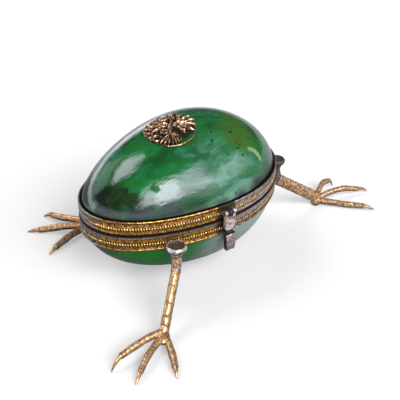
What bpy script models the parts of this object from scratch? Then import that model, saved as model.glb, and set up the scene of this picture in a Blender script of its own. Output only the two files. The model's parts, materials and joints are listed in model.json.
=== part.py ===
"""A jewelled egg trinket box: a hardstone egg, split and hinged, on three cast bird's legs.

Lengths are metres, +Z is up and the table is at z = 0. The egg lies along X with its blunt end at
+X. The clasp faces -Y and the hinge is at +Y. Pieces are modelled about the middle of the split,
and one empty then carries them all, so that the origin is under the middle of the whole box.
"""

from collections import namedtuple
from math import asin, cos, hypot, pi, radians, sin, sqrt

import bmesh
import bpy
from mathutils import Matrix, Vector

# the egg, as it would be whole
EGG_LENGTH = 0.076
EGG_RADIUS = 0.025
EGG_SWELL = (0.105, -0.036, -0.113)  # first, second and third order change of radius along the egg
SPLIT_HEIGHT = 0.0266                # the split above the table
STONE_WALL = 0.0030

# the two gilt bands that edge the split
BAND_HEIGHT = 0.0049
BAND_GAP = 0.0005
BAND_WALL = 0.00045
BAND_PROUD = 0.00005                 # the plain wall outside the egg's outline
LIP_PROUD = 0.00030                  # the lips and the bead outside the egg's outline
LIP_HEIGHT = 0.00055
BEAD_HEIGHT = 0.0011
LID_BEAD_SHARE = 0.45                # where up its band the bead runs, from the split
BOWL_BEAD_SHARE = 0.58
SEAT_THICKNESS = 0.0008
SEAT_PAST_STONE = 0.0004             # how far the seat shows inside the stone

CLEARANCE = 0.0003                   # between pieces that touch or turn in each other
OUTLINE_SEGMENTS = 44
DOME_RINGS = 7

# the hinge at the back
HINGE_X = 0.0065
KNUCKLE_RADIUS = 0.0015
KNUCKLE_LENGTH = 0.0030
HINGE_PIN_RADIUS = 0.0005
PIN_HEAD_RADIUS = 0.0011
PIN_HEAD_LENGTH = 0.0005
KNUCKLE_ARM = 0.0011                 # thickness of the arm that carries a knuckle

# the clasp at the front
CLASP_AZIMUTH = -97.0                # degrees, the way the band faces there
CLASP_AXIS_HEIGHT = 0.0034
CLASP_AXIS_OUT = 0.0019
CLASP_BARREL = 0.0010
CLASP_PIN_RADIUS = 0.00035
LUG_WIDTH = 0.0016
TONGUE_WIDTH = 0.0045
TONGUE_WAIST = 0.0022
TONGUE_THICKNESS = 0.0008
TONGUE_WAIST_DROP = 0.0070           # from the clasp's axis down to the waist
THUMB_LENGTH = 0.0062
THUMB_WIDTH = 0.0042
THUMB_TIP_WIDTH = 0.0032
THUMB_THICKNESS = 0.0018
TONGUE_LAP = 0.0003                  # how far the tongue's parts run into each other
SKIN = 0.00004                       # step between faces that would else fall in one plane
CATCH_RADIUS = 0.0007
CATCH_DROP = 0.0028                  # the catch bead under the split

# the openwork emblem on the lid
EMBLEM_CENTRE = (-0.0062, -0.0016)
EMBLEM_RADIUS = 0.0084
EMBLEM_TURN = 40.0                   # degrees, the way the emblem's top points
EMBLEM_RELIEF = 0.0011
RIM_WIDTH = 0.0010
RIM_SEGMENTS = 24
BLADE_FLANK = 0.5                    # how much of a blade's height its upright sides take

# the three bird's legs
DISC_RADIUS = 0.00325
DISC_DROP = 0.0016                   # the disc's top under the split
DISC_RIM = 0.0019
DISC_HOLLOW = 0.00075
DISC_STANDOFF = 0.0044               # the disc's middle outside the egg's outline
ARM_WIDTH = 0.0024
ARM_HEIGHT = 0.0016
FUNNEL_LENGTH = 0.0020
THIGH_LENGTH = 0.0051
THIGH_RADIUS = 0.00162
THIGH_DEPTH = 1.15                   # front to back over side to side
KNEE_OUT = 0.0010
KNEE_DEPTH = 1.25
SHANK_RADIUS = 0.0014
SHANK_DEPTH = 1.45
LEG_REACH = 0.0152                   # from the disc's middle out to the foot's middle
ANKLE_HEIGHT = 0.0032
SCUTES = 5                           # scales that ring the shank
SCUTE_STEP = 0.00014
SOLE_RADIUS = 0.00125
HUB_RADIUS = 0.0019
HUB_HEIGHT = 0.0036
TOE_LENGTH = 0.0200
TOE_RADIUS = 0.00103
TOE_DEPTH = 1.15
TOE_JOINTS = ((0.0, 1.15), (0.28, 1.0), (0.54, 1.04), (0.80, 0.88))
CLAW_RADIUS = 0.00020
LEG_SIDES = 8
TOE_SIDES = 6

Toe = namedtuple("Toe", "turn length girth bow heights")
Leg = namedtuple("Leg", "seat lean reach toes")

# seat: the way the band faces at the disc; lean: the way the leg goes; reach: in leg reaches. A toe
# turns from the lean; its length is in toe lengths, its sideways bow is a share of that, and its
# heights at the joints and at the claw's tip are in toe radii.
LEGS = {
    "leg_front": Leg(-113.7, -146.6, 1.0, (
        Toe(-32.4, 1.01, 1.02, -0.025, (3.7, 4.2, 4.0, 3.7, 0.3)),
        Toe(-6.4, 1.03, 1.0, -0.03, (2.3, 2.6, 2.6, 1.85, 0.3)),
        Toe(28.6, 0.85, 1.08, 0.03, (2.8, 2.7, 2.3, 1.65, 0.3)))),
    "leg_left": Leg(97.0, 161.7, 0.88, (
        Toe(-52.0, 1.02, 1.06, 0.02, (3.9, 3.5, 2.7, 2.3, 0.3)),
        Toe(-20.6, 1.12, 1.12, 0.0, (2.4, 2.4, 1.9, 1.15, 0.3)),
        Toe(29.0, 1.01, 1.14, -0.05, (2.1, 2.1, 1.65, 1.2, 0.3)))),
    "leg_right": Leg(-16.2, -14.5, 1.295, (
        Toe(-40.5, 1.12, 1.03, 0.0, (1.85, 1.65, 1.45, 1.6, 0.6)),
        Toe(-4.5, 1.19, 0.98, 0.025, (2.5, 3.6, 3.75, 2.4, 0.5)),
        Toe(30.5, 0.82, 1.0, 0.06, (2.5, 4.3, 5.0, 3.95, 0.4)))),
}

STONE = ("green_hardstone", (0.02, 0.20, 0.09), 0.0, 0.12)
GILT = ("silver_gilt", (0.72, 0.50, 0.18), 1.0, 0.32)
ROSE_GOLD = ("rose_gold", (0.72, 0.42, 0.27), 1.0, 0.30)
WORN_SILVER = ("worn_silver", (0.45, 0.40, 0.38), 1.0, 0.38)


# the egg's form

def swell(t):
    """Egg radius over the radius of a plain spheroid, t from -1 at the narrow end to 1."""
    first, second, third = EGG_SWELL
    return 1.0 + first * t + second * t * t + third * t ** 3


def egg_radius(x, inset=0.0):
    """Radius about the long axis at x, of the egg made smaller all round by the inset."""
    t = x / (EGG_LENGTH / 2 - inset)
    if abs(t) >= 1.0:
        return 0.0
    return (EGG_RADIUS - inset) * sqrt(1.0 - t * t) * swell(t)


def outline(theta, inset=0.0):
    """Plan point of the egg at the split, theta from the blunt end."""
    t = cos(theta)
    return Vector(((EGG_LENGTH / 2 - inset) * t, (EGG_RADIUS - inset) * sin(theta) * swell(t), 0.0))


def outline_normal(theta):
    """Outward plan direction of the egg's outline."""
    step = 0.0005
    along = outline(theta + step) - outline(theta - step)
    return Vector((along.y, -along.x, 0.0)).normalized()


def outline_at(theta, out):
    """Plan point at a distance outside the egg's outline."""
    return outline(theta) + outline_normal(theta) * out


def theta_facing(azimuth):
    """Where along the outline the egg faces an azimuth in degrees."""
    wanted = radians(azimuth) % (2 * pi)
    facing = Vector((cos(wanted), sin(wanted), 0.0))
    side = Vector((-facing.y, facing.x, 0.0))
    low, high = wanted - pi / 2, wanted + pi / 2
    for _ in range(50):
        middle = (low + high) / 2
        if outline_normal(middle).dot(side) < 0.0:
            low = middle
        else:
            high = middle
    return (low + high) / 2


def station(azimuth):
    """Frame on the outline: X along the band, Y inwards, Z up."""
    theta = theta_facing(azimuth)
    normal = outline_normal(theta)
    along = Vector((-normal.y, normal.x, 0.0))
    frame = Matrix((along, -normal, Vector((0.0, 0.0, 1.0)))).transposed().to_4x4()
    frame.translation = outline(theta)
    return frame


def shell_point(theta, z, inset=0.0):
    """Point of the egg's surface at height z, over the plan ray at theta."""
    middle_x = EGG_LENGTH * EGG_SWELL[0] / 2
    rim = outline(theta, inset)
    low, high = 0.0, 1.0
    for _ in range(40):
        share = (low + high) / 2
        x = middle_x + (rim.x - middle_x) * share
        y = rim.y * share
        if egg_radius(x, inset) ** 2 - y * y > z * z:
            low = share
        else:
            high = share
    return Vector((middle_x + (rim.x - middle_x) * low, rim.y * low, z))


def dome_point(x, y, lift):
    """Point above the egg's surface by the lift, over a plan point."""
    step = 0.0001
    radius = egg_radius(x)
    slope = (egg_radius(x + step) - egg_radius(x - step)) / (2 * step)
    z = sqrt(max(radius ** 2 - y * y, 0.0))
    normal = Vector((-radius * slope, y, z)).normalized()
    return Vector((x, y, z)) + normal * lift


# mesh building

def mesh_of(rings, loop=False):
    """Closed mesh through rings of points; a ring of one point closes an end."""
    bm = bmesh.new()
    rows = [[bm.verts.new(point) for point in ring] for ring in rings]
    pairs = list(zip(rows, rows[1:] + rows[:1])) if loop else list(zip(rows, rows[1:]))
    for near, far in pairs:
        count = max(len(near), len(far))
        for i in range(count):
            j = (i + 1) % count
            if len(near) == 1:
                bm.faces.new((near[0], far[j], far[i]))
            elif len(far) == 1:
                bm.faces.new((near[i], near[j], far[0]))
            else:
                bm.faces.new((near[i], near[j], far[j], far[i]))
    if not loop:
        for row in (rows[0], rows[-1]):
            if len(row) > 1:
                bm.faces.new(row)
    bmesh.ops.recalc_face_normals(bm, faces=bm.faces)
    mesh = bpy.data.meshes.new("form")
    bm.to_mesh(mesh)
    bm.free()
    return mesh


def circle(centre, across, up, radius, sides, depth=1.0):
    """Ring of points about a centre; depth stretches it along the second direction."""
    turns = [2 * pi * (i + 0.5) / sides for i in range(sides)]
    return [centre + (across * cos(a) + up * (sin(a) * depth)) * radius for a in turns]


def tube(points, radii, depths, sides):
    """Closed oval tube through points in one upright plane, with flat ends."""
    rings = []
    last = len(points) - 1
    heading = Vector((points[-1].x - points[0].x, points[-1].y - points[0].y, 0.0)).normalized()
    across = Vector((-heading.y, heading.x, 0.0))
    for i, (point, radius, depth) in enumerate(zip(points, radii, depths)):
        along = (points[min(i + 1, last)] - points[max(i - 1, 0)]).normalized()
        rings.append(circle(point, across, along.cross(across), radius, sides, depth))
    return mesh_of(rings)


def rod(start, end, radius, sides=12):
    """Straight cylinder between two points."""
    along = (end - start).normalized()
    across = along.orthogonal().normalized()
    up = along.cross(across)
    return mesh_of([circle(start, across, up, radius, sides), circle(end, across, up, radius, sides)])


def block(low, high, frame=Matrix.Identity(4)):
    """Box between two corners of a frame."""
    plan = ((low[0], low[1]), (high[0], low[1]), (high[0], high[1]), (low[0], high[1]))
    rings = [[frame @ Vector((x, y, z)) for x, y in plan] for z in (low[2], high[2])]
    return mesh_of(rings)


def combined(base, others, operation):
    """Mesh of one form with others joined to it or cut from it."""
    carrier = bpy.data.objects.new("carrier", base)
    helpers = [bpy.data.objects.new("helper", other) for other in others]
    for thing in [carrier] + helpers:
        bpy.context.scene.collection.objects.link(thing)
    for helper in helpers:
        modifier = carrier.modifiers.new("combine", "BOOLEAN")
        modifier.operation = operation
        modifier.object = helper
    bpy.context.view_layer.update()
    evaluated = carrier.evaluated_get(bpy.context.evaluated_depsgraph_get())
    result = bpy.data.meshes.new_from_object(evaluated)
    for thing in [carrier] + helpers:
        bpy.data.objects.remove(thing)
    return result


def fused(base, *others):
    return combined(base, others, "UNION")


def cut(base, *others):
    return combined(base, others, "DIFFERENCE")


# sub-parts, each about the middle of the split

def stone_shell(side):
    """Half of the hollow egg; side is 1 for the lid and -1 for the bowl."""
    edge = BAND_GAP / 2 + SEAT_THICKNESS + CLEARANCE
    tuck = BAND_WALL - BAND_PROUD + CLEARANCE
    turns = [2 * pi * i / OUTLINE_SEGMENTS for i in range(OUTLINE_SEGMENTS)]
    middle = Vector((EGG_LENGTH * EGG_SWELL[0] / 2, 0.0, 0.0))

    def ring(share, inset, tucked):
        start = asin(edge / (EGG_RADIUS - inset))
        z = (EGG_RADIUS - inset) * sin(start + (pi / 2 - start) * share)
        points = []
        for theta in turns:
            point = shell_point(theta, z, inset)
            inner = outline_at(theta, -tuck)
            if tucked and (inner - middle).length < (point - middle - Vector((0, 0, z))).length:
                point = Vector((inner.x, inner.y, z))
            points.append(Vector((point.x, point.y, side * z)))
        return points

    def top(inset):
        return [Vector((middle.x, 0.0, side * egg_radius(middle.x, inset)))]

    shares = [i / DOME_RINGS for i in range(DOME_RINGS)]
    outer = [ring(share, 0.0, True) for share in reversed(shares)]
    inner = [ring(share, STONE_WALL, False) for share in shares]
    return mesh_of([top(0.0)] + outer + inner + [top(STONE_WALL)])


def band_section(bead_share):
    """Outline of a band across its run, as pairs of distance outwards and distance from the split."""
    low = BAND_GAP / 2
    high = low + BAND_HEIGHT
    middle = low + BAND_HEIGHT * bead_share
    slope = LIP_PROUD - BAND_PROUD
    inner = BAND_PROUD - BAND_WALL
    seat = -STONE_WALL - SEAT_PAST_STONE - (BAND_WALL - BAND_PROUD)
    return (
        (seat, low), (LIP_PROUD, low), (LIP_PROUD, low + LIP_HEIGHT),
        (BAND_PROUD, low + LIP_HEIGHT + slope),
        (BAND_PROUD, middle - BEAD_HEIGHT / 2), (LIP_PROUD, middle - BEAD_HEIGHT / 4),
        (LIP_PROUD, middle + BEAD_HEIGHT / 4), (BAND_PROUD, middle + BEAD_HEIGHT / 2),
        (BAND_PROUD, high - LIP_HEIGHT - slope), (LIP_PROUD, high - LIP_HEIGHT),
        (LIP_PROUD, high), (inner, high),
        (inner, low + SEAT_THICKNESS), (seat, low + SEAT_THICKNESS),
    )


def band(side):
    """Gilt band that edges the lid (side 1) or the bowl (side -1)."""
    section = band_section(LID_BEAD_SHARE if side > 0 else BOWL_BEAD_SHARE)
    rings = []
    for i in range(OUTLINE_SEGMENTS):
        theta = 2 * pi * i / OUTLINE_SEGMENTS
        rings.append([outline_at(theta, out) + Vector((0, 0, side * z)) for out, z in section])
    return mesh_of(rings, loop=True)


def hinge_axis_y():
    """The hinge's axis stands clear behind the widest band in its reach."""
    widest = max(egg_radius(HINGE_X + shift) for shift in (-hinge_half_length(), 0.0, hinge_half_length()))
    return widest + LIP_PROUD + CLEARANCE + KNUCKLE_RADIUS


def hinge_half_length():
    return 1.5 * KNUCKLE_LENGTH + CLEARANCE


def knuckle(x, side):
    """Hinge knuckle with the arm that ties it to the wall of its band."""
    axis_y = hinge_axis_y()
    half = KNUCKLE_LENGTH / 2
    barrel = rod(Vector((x - half, axis_y, 0.0)), Vector((x + half, axis_y, 0.0)), KNUCKLE_RADIUS)
    wall_y = min(egg_radius(x - half), egg_radius(x + half)) - BAND_WALL / 2
    low = BAND_GAP / 2 + CLEARANCE / 2
    levels = sorted((side * low, side * (low + KNUCKLE_ARM)))
    arm = block((x - half, wall_y, levels[0]), (x + half, axis_y, levels[1]))
    return fused(barrel, arm)


def hinge_bore():
    reach = hinge_half_length() + KNUCKLE_LENGTH
    start = Vector((HINGE_X - reach, hinge_axis_y(), 0.0))
    end = Vector((HINGE_X + reach, hinge_axis_y(), 0.0))
    return rod(start, end, HINGE_PIN_RADIUS + CLEARANCE)


def hinge_pin():
    """Headed pin through the three knuckles."""
    reach = hinge_half_length() + CLEARANCE
    along = Vector((1.0, 0.0, 0.0))
    centre = Vector((HINGE_X, hinge_axis_y(), 0.0))
    sides, up = Vector((0.0, 1.0, 0.0)), Vector((0.0, 0.0, 1.0))
    profile = (
        (-reach - PIN_HEAD_LENGTH, PIN_HEAD_RADIUS), (-reach, PIN_HEAD_RADIUS),
        (-reach, HINGE_PIN_RADIUS), (reach, HINGE_PIN_RADIUS),
        (reach, PIN_HEAD_RADIUS), (reach + PIN_HEAD_LENGTH, PIN_HEAD_RADIUS),
    )
    return mesh_of([circle(centre + along * x, sides, up, radius, 12) for x, radius in profile])


def lid_band():
    """The lid's band with its hinge knuckle and the lug that carries the clasp."""
    frame = station(CLASP_AZIMUTH)
    half = LUG_WIDTH / 2
    axis = Vector((0.0, -CLASP_AXIS_OUT, CLASP_AXIS_HEIGHT))
    across = Vector((1.0, 0.0, 0.0))
    barrel = rod(frame @ (axis - across * half), frame @ (axis + across * half), CLASP_BARREL)
    stem = block((-half, -CLASP_AXIS_OUT, CLASP_AXIS_HEIGHT - CLASP_BARREL / 2),
                 (half, BAND_WALL / 2, CLASP_AXIS_HEIGHT + CLASP_BARREL / 2), frame)
    lug = fused(barrel, stem)
    body = fused(band(1), knuckle(HINGE_X, 1), lug)
    reach = across * TONGUE_WIDTH
    clasp_bore = rod(frame @ (axis - reach), frame @ (axis + reach), CLASP_PIN_RADIUS + CLEARANCE)
    return cut(body, hinge_bore(), clasp_bore)


def bowl_band():
    """The bowl's band with two hinge knuckles and the small bead the clasp snaps over."""
    pitch = KNUCKLE_LENGTH + CLEARANCE
    frame = station(CLASP_AZIMUTH)
    up = Vector((0.0, 0.0, 1.0))
    across = Vector((1.0, 0.0, 0.0))
    start = Vector((0.0, BAND_WALL / 2, -CATCH_DROP))
    tip = Vector((0.0, CLEARANCE + TONGUE_THICKNESS / 2 - CLASP_AXIS_OUT, -CATCH_DROP))
    shoulder = start.lerp(tip, 0.75)
    rings = [circle(start, across, up, CATCH_RADIUS, 10), circle(shoulder, across, up, CATCH_RADIUS, 10),
             circle(tip, across, up, CATCH_RADIUS / 2, 10)]
    catch = mesh_of([[frame @ point for point in ring] for ring in rings])
    body = fused(band(-1), knuckle(HINGE_X - pitch, -1), knuckle(HINGE_X + pitch, -1), catch)
    return cut(body, hinge_bore())


def clasp_pin():
    frame = station(CLASP_AZIMUTH)
    axis = Vector((0.0, -CLASP_AXIS_OUT, CLASP_AXIS_HEIGHT))
    reach = Vector((TONGUE_WIDTH / 2 + CLEARANCE, 0.0, 0.0))
    return rod(frame @ (axis - reach), frame @ (axis + reach), CLASP_PIN_RADIUS, 10)


def clasp_tongue():
    """Hinged tongue: a waisted strap with two barrels above and a tapering thumb piece below."""
    frame = station(CLASP_AZIMUTH)
    back = -CLASP_AXIS_OUT + TONGUE_THICKNESS / 2
    front = back - TONGUE_THICKNESS
    slot = LUG_WIDTH / 2 + CLEARANCE
    edge = TONGUE_WIDTH / 2
    top = CLASP_AXIS_HEIGHT
    waist = top - TONGUE_WAIST_DROP
    shoulder = top - CLASP_BARREL - CLEARANCE
    levels = ((shoulder, edge, 0.0001), ((shoulder + waist) / 2, edge * 0.93, 0.00035),
              (waist, TONGUE_WAIST / 2, 0.0001), (waist - 3 * TONGUE_LAP, TONGUE_WAIST / 2, 0.0001))
    strap = mesh_of([
        [frame @ Vector((x, y, z)) for x, y in
         ((-half, back), (half, back), (half, front), (0.0, front + dish), (-half, front))]
        for z, half, dish in levels])
    thumb_top = waist - 2 * TONGUE_LAP
    tip = thumb_top - THUMB_LENGTH
    thumb_front = back - THUMB_THICKNESS
    thumb_levels = ((thumb_top, THUMB_WIDTH / 2, thumb_front),
                    (tip + 0.0006, THUMB_TIP_WIDTH / 2, thumb_front + 0.0003),
                    (tip, THUMB_TIP_WIDTH / 2 - 0.0003, thumb_front + 0.0007))
    thumb = mesh_of([
        [frame @ Vector((x, y, z)) for x, y in
         ((-half, back - SKIN), (half, back - SKIN), (half, face), (-half, face))]
        for z, half, face in thumb_levels])
    pieces = []
    for side in (-1, 1):
        inner = Vector((side * slot, -CLASP_AXIS_OUT, top))
        outer = Vector((side * edge, -CLASP_AXIS_OUT, top))
        pieces.append(rod(frame @ inner, frame @ outer, CLASP_BARREL))
        ends = sorted((side * slot, side * edge))
        pieces.append(block((ends[0] + SKIN, front + SKIN, shoulder - TONGUE_LAP),
                            (ends[1] - SKIN, back - SKIN, top), frame))
    reach = Vector((TONGUE_WIDTH, 0.0, 0.0))
    axis = Vector((0.0, -CLASP_AXIS_OUT, top))
    bore = rod(frame @ (axis - reach), frame @ (axis + reach), CLASP_PIN_RADIUS + CLEARANCE)
    return cut(fused(strap, thumb, *pieces), bore)


def on_emblem(u, v):
    """Plan point of the emblem's own coordinates, as shares of its radius, v towards its top."""
    top = radians(EMBLEM_TURN)
    x = EMBLEM_CENTRE[0] + EMBLEM_RADIUS * (u * sin(top) + v * cos(top))
    y = EMBLEM_CENTRE[1] + EMBLEM_RADIUS * (v * sin(top) - u * cos(top))
    return x, y


def blade(path, widths, relief, layer, loop=False):
    """Ridged leaf or feather over the dome along a path of emblem points; layers differ in height."""
    rings = []
    base = CLEARANCE + layer * SKIN
    last = len(path) - 1
    for i, ((u, v), width) in enumerate(zip(path, widths)):
        before = path[(i - 1) % len(path)] if loop else path[max(i - 1, 0)]
        after = path[(i + 1) % len(path)] if loop else path[min(i + 1, last)]
        length = hypot(after[0] - before[0], after[1] - before[1])
        side_u = -(after[1] - before[1]) / length * width / 2
        side_v = (after[0] - before[0]) / length * width / 2
        left = on_emblem(u + side_u, v + side_v)
        right = on_emblem(u - side_u, v - side_v)
        flank = base + relief * BLADE_FLANK
        rings.append([dome_point(*left, base), dome_point(*left, flank),
                      dome_point(*on_emblem(u, v), base + relief),
                      dome_point(*right, flank), dome_point(*right, base)])
    return mesh_of(rings, loop)


def fan(root, first, last, count, length, width, layer):
    """Feathers that spread from a root between two turns in degrees."""
    feathers = []
    for i in range(count):
        turn = radians(first + (last - first) * i / (count - 1))
        path = [(root[0] + sin(turn) * length * share, root[1] + cos(turn) * length * share)
                for share in (0.0, 0.6, 1.0)]
        widths = (width * 0.7, width, width * 0.35)
        feathers.append(blade(path, widths, EMBLEM_RELIEF, layer + i))
    return feathers


def emblem():
    """Openwork emblem: a bird with spread wings and a fanned tail in a round rim."""
    rim_share = 1.0 - RIM_WIDTH / EMBLEM_RADIUS / 2
    turns = [2 * pi * i / RIM_SEGMENTS for i in range(RIM_SEGMENTS)]
    rim = blade([(rim_share * sin(a), rim_share * cos(a)) for a in turns],
                [RIM_WIDTH / EMBLEM_RADIUS] * len(turns), EMBLEM_RELIEF * 0.8, 0, loop=True)
    body = blade([(0.0, -0.45), (0.0, -0.15), (0.0, 0.25), (0.05, 0.5)], (0.16, 0.36, 0.32, 0.18),
                 EMBLEM_RELIEF * 1.25, 1)
    head = blade([(0.0, 0.46), (0.08, 0.66), (0.22, 0.70), (0.34, 0.62)], (0.2, 0.24, 0.16, 0.03),
                 EMBLEM_RELIEF * 1.15, 2)
    feathers = fan((-0.08, 0.18), -120.0, -45.0, 4, 0.84, 0.19, 3)
    feathers += fan((0.08, 0.18), 120.0, 45.0, 4, 0.84, 0.19, 3)
    feathers += fan((0.0, -0.3), 148.0, 212.0, 5, 0.66, 0.15, 3)
    return fused(body, head, rim, *feathers)


def leg_disc(centre):
    """Hollowed round cap at the top of a leg."""
    across, up = Vector((1.0, 0.0, 0.0)), Vector((0.0, 1.0, 0.0))
    profile = ((0.0, -DISC_HOLLOW), (DISC_RADIUS * 0.6, -DISC_HOLLOW * 0.8), (DISC_RADIUS * 0.86, 0.0),
               (DISC_RADIUS, -DISC_RIM * 0.3), (DISC_RADIUS * 0.97, -DISC_RIM))
    rings = [[centre + Vector((0.0, 0.0, profile[0][1]))]]
    for radius, z in profile[1:]:
        rings.append(circle(centre + Vector((0.0, 0.0, z)), across, up, radius, 16))
    return mesh_of(rings)


def leg_shaft(disc, heading, reach, ankle_z):
    """Funnel, thigh and scaled shank, as one tube in the plane of the leg's lean."""
    funnel_end = -DISC_RIM - FUNNEL_LENGTH
    knee_z = funnel_end - THIGH_LENGTH
    stops = [(0.0, -DISC_RIM * 0.9, DISC_RADIUS * 0.8, 1.0),
             (0.0, -DISC_RIM - FUNNEL_LENGTH * 0.35, THIGH_RADIUS * 1.35, 1.0),
             (0.0, funnel_end, THIGH_RADIUS, 1.0),
             (KNEE_OUT * 0.3, (funnel_end + knee_z) / 2, THIGH_RADIUS, THIGH_DEPTH),
             (KNEE_OUT, knee_z, THIGH_RADIUS, KNEE_DEPTH)]
    drop = ankle_z - disc.z - knee_z
    for i in range(SCUTES):
        for share, radius in ((0.15, SHANK_RADIUS + SCUTE_STEP), (0.85, SHANK_RADIUS - SCUTE_STEP)):
            s = (i + share) / SCUTES
            stops.append((KNEE_OUT + (reach - KNEE_OUT) * s, knee_z + drop * s, radius, SHANK_DEPTH))
    stops.append((reach, ankle_z - disc.z, SHANK_RADIUS, 1.0))
    points = [disc + heading * stop[0] + Vector((0.0, 0.0, stop[1])) for stop in stops]
    return tube(points, [stop[2] for stop in stops], [stop[3] for stop in stops], LEG_SIDES)


def foot_hub(hub):
    """Ball of the foot, cut flat below as a sole."""
    across, up = Vector((1.0, 0.0, 0.0)), Vector((0.0, 1.0, 0.0))
    profile = ((0.0, SOLE_RADIUS), (HUB_RADIUS * 0.4, HUB_RADIUS), (HUB_HEIGHT * 0.7, HUB_RADIUS),
               (HUB_HEIGHT, HUB_RADIUS * 0.5))
    return mesh_of([circle(hub + Vector((0.0, 0.0, z)), across, up, radius, 12) for z, radius in profile])


def toe_stops(toe):
    """Share of the toe's length, height and girth at each ring: joints, the waists between, the claw."""
    stops = [(s, height, girth) for (s, girth), height in zip(TOE_JOINTS, toe.heights)]
    waists = [((a[0] + b[0]) / 2, (a[1] + b[1]) / 2, (a[2] + b[2]) / 2 * 0.94) for a, b in zip(stops, stops[1:])]
    flesh, joint_height, joint_girth = stops[-1]
    tip_girth = CLAW_RADIUS / TOE_RADIUS
    for share in (0.4, 0.75, 1.0):
        height = toe.heights[-1] + (joint_height - toe.heights[-1]) * (1.0 - share * share)
        girth = joint_girth * 0.7 * (1.0 - share) + tip_girth * share
        stops.append((flesh + (1.0 - flesh) * share, height, girth))
    return sorted(stops + waists)


def toe_form(hub, heading, toe):
    """Jointed toe that arches over and ends in a claw on the table."""
    side = Vector((-heading.y, heading.x, 0.0))
    length = TOE_LENGTH * toe.length
    points = []
    radii = []
    for s, height, girth in toe_stops(toe):
        out = heading * (length * s) + side * (length * toe.bow * sin(pi * s))
        points.append(hub + out + Vector((0.0, 0.0, height * TOE_RADIUS)))
        radii.append(TOE_RADIUS * toe.girth * girth)
    return tube(points, radii, [TOE_DEPTH] * len(radii), TOE_SIDES)


def leg_form(leg):
    """Cast leg: disc, arm to the band, shaft, foot and three clawed toes."""
    frame = station(leg.seat)
    disc = frame @ Vector((0.0, -DISC_STANDOFF, -DISC_DROP))
    heading = Vector((cos(radians(leg.lean)), sin(radians(leg.lean)), 0.0))
    reach = LEG_REACH * leg.reach
    hub = disc + heading * reach
    hub.z = -SPLIT_HEIGHT
    shaft = leg_shaft(disc, heading, reach, ANKLE_HEIGHT - SPLIT_HEIGHT)
    arm_top = -DISC_DROP - DISC_HOLLOW
    arm = block((-ARM_WIDTH / 2, -DISC_STANDOFF + DISC_RADIUS / 2, arm_top - ARM_HEIGHT),
                (ARM_WIDTH / 2, -LIP_PROUD - CLEARANCE, arm_top), frame)
    toes = []
    for toe in leg.toes:
        turn = radians(leg.lean + toe.turn)
        toes.append(toe_form(hub, Vector((cos(turn), sin(turn), 0.0)), toe))
    return fused(shaft, leg_disc(disc), arm, foot_hub(hub), *toes)


# the finished object

def finish(name, colour, metallic, roughness):
    material = bpy.data.materials.new(name)
    material.use_nodes = True
    shader = material.node_tree.nodes["Principled BSDF"]
    shader.inputs["Base Color"].default_value = (*colour, 1.0)
    shader.inputs["Metallic"].default_value = metallic
    shader.inputs["Roughness"].default_value = roughness
    return material


def empty(name, parent, place):
    thing = bpy.data.objects.new(name, None)
    bpy.context.scene.collection.objects.link(thing)
    thing.parent = parent
    thing.location = place
    return thing


def add_piece(name, mesh, material, carrier, carrier_place):
    """Object whose origin is its carrier's place, parented to that carrier."""
    mesh.transform(Matrix.Translation(-carrier_place))
    mesh.materials.clear()
    mesh.materials.append(material)
    mesh.shade_smooth()
    mesh.set_sharp_from_angle(angle=radians(35))
    thing = bpy.data.objects.new(name, mesh)
    bpy.context.scene.collection.objects.link(thing)
    thing.parent = carrier
    return thing


def build():
    for thing in list(bpy.data.objects):
        bpy.data.objects.remove(thing)
    stone, gilt, rose, silver = (finish(*spec) for spec in (STONE, GILT, ROSE_GOLD, WORN_SILVER))

    middle = Vector((0.0, 0.0, 0.0))
    lid_place = Vector((HINGE_X, hinge_axis_y(), 0.0))
    clasp_place = station(CLASP_AZIMUTH) @ Vector((0.0, -CLASP_AXIS_OUT, CLASP_AXIS_HEIGHT))
    box = empty("egg_box", None, middle)
    lid_axis = empty("lid_axis", box, lid_place)
    clasp_axis = empty("clasp_axis", lid_axis, clasp_place - lid_place)

    pieces = [
        add_piece("bowl_stone", stone_shell(-1), stone, box, middle),
        add_piece("bowl_band", bowl_band(), gilt, box, middle),
        add_piece("hinge_pin", hinge_pin(), silver, box, middle),
        add_piece("lid_stone", stone_shell(1), stone, lid_axis, lid_place),
        add_piece("lid_band", lid_band(), gilt, lid_axis, lid_place),
        add_piece("emblem", emblem(), rose, lid_axis, lid_place),
        add_piece("clasp_pin", clasp_pin(), silver, lid_axis, lid_place),
        add_piece("clasp_tongue", clasp_tongue(), silver, clasp_axis, clasp_place),
    ]
    pieces += [add_piece(name, leg_form(leg), gilt, box, middle) for name, leg in LEGS.items()]

    bpy.context.view_layer.update()
    corners = [piece.matrix_world @ vertex.co for piece in pieces for vertex in piece.data.vertices]
    lowest = [min(corner[axis] for corner in corners) for axis in range(3)]
    highest = [max(corner[axis] for corner in corners) for axis in range(3)]
    box.location = (-(lowest[0] + highest[0]) / 2, -(lowest[1] + highest[1]) / 2, -lowest[2])


build()
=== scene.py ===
"""Looks of a jewelled egg trinket box: a hardstone egg between two milled bands, on bird's legs.

Shapes are worked out in millimetres about the middle of the egg's split, +Z up and the blunt end at
+X. Form.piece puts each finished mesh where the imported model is, in metres.
"""

import json
from collections import namedtuple
from math import asin, cos, exp, hypot, pi, radians, sin, sqrt, tau

import bmesh
import bpy
from mathutils import Matrix, Vector


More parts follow.
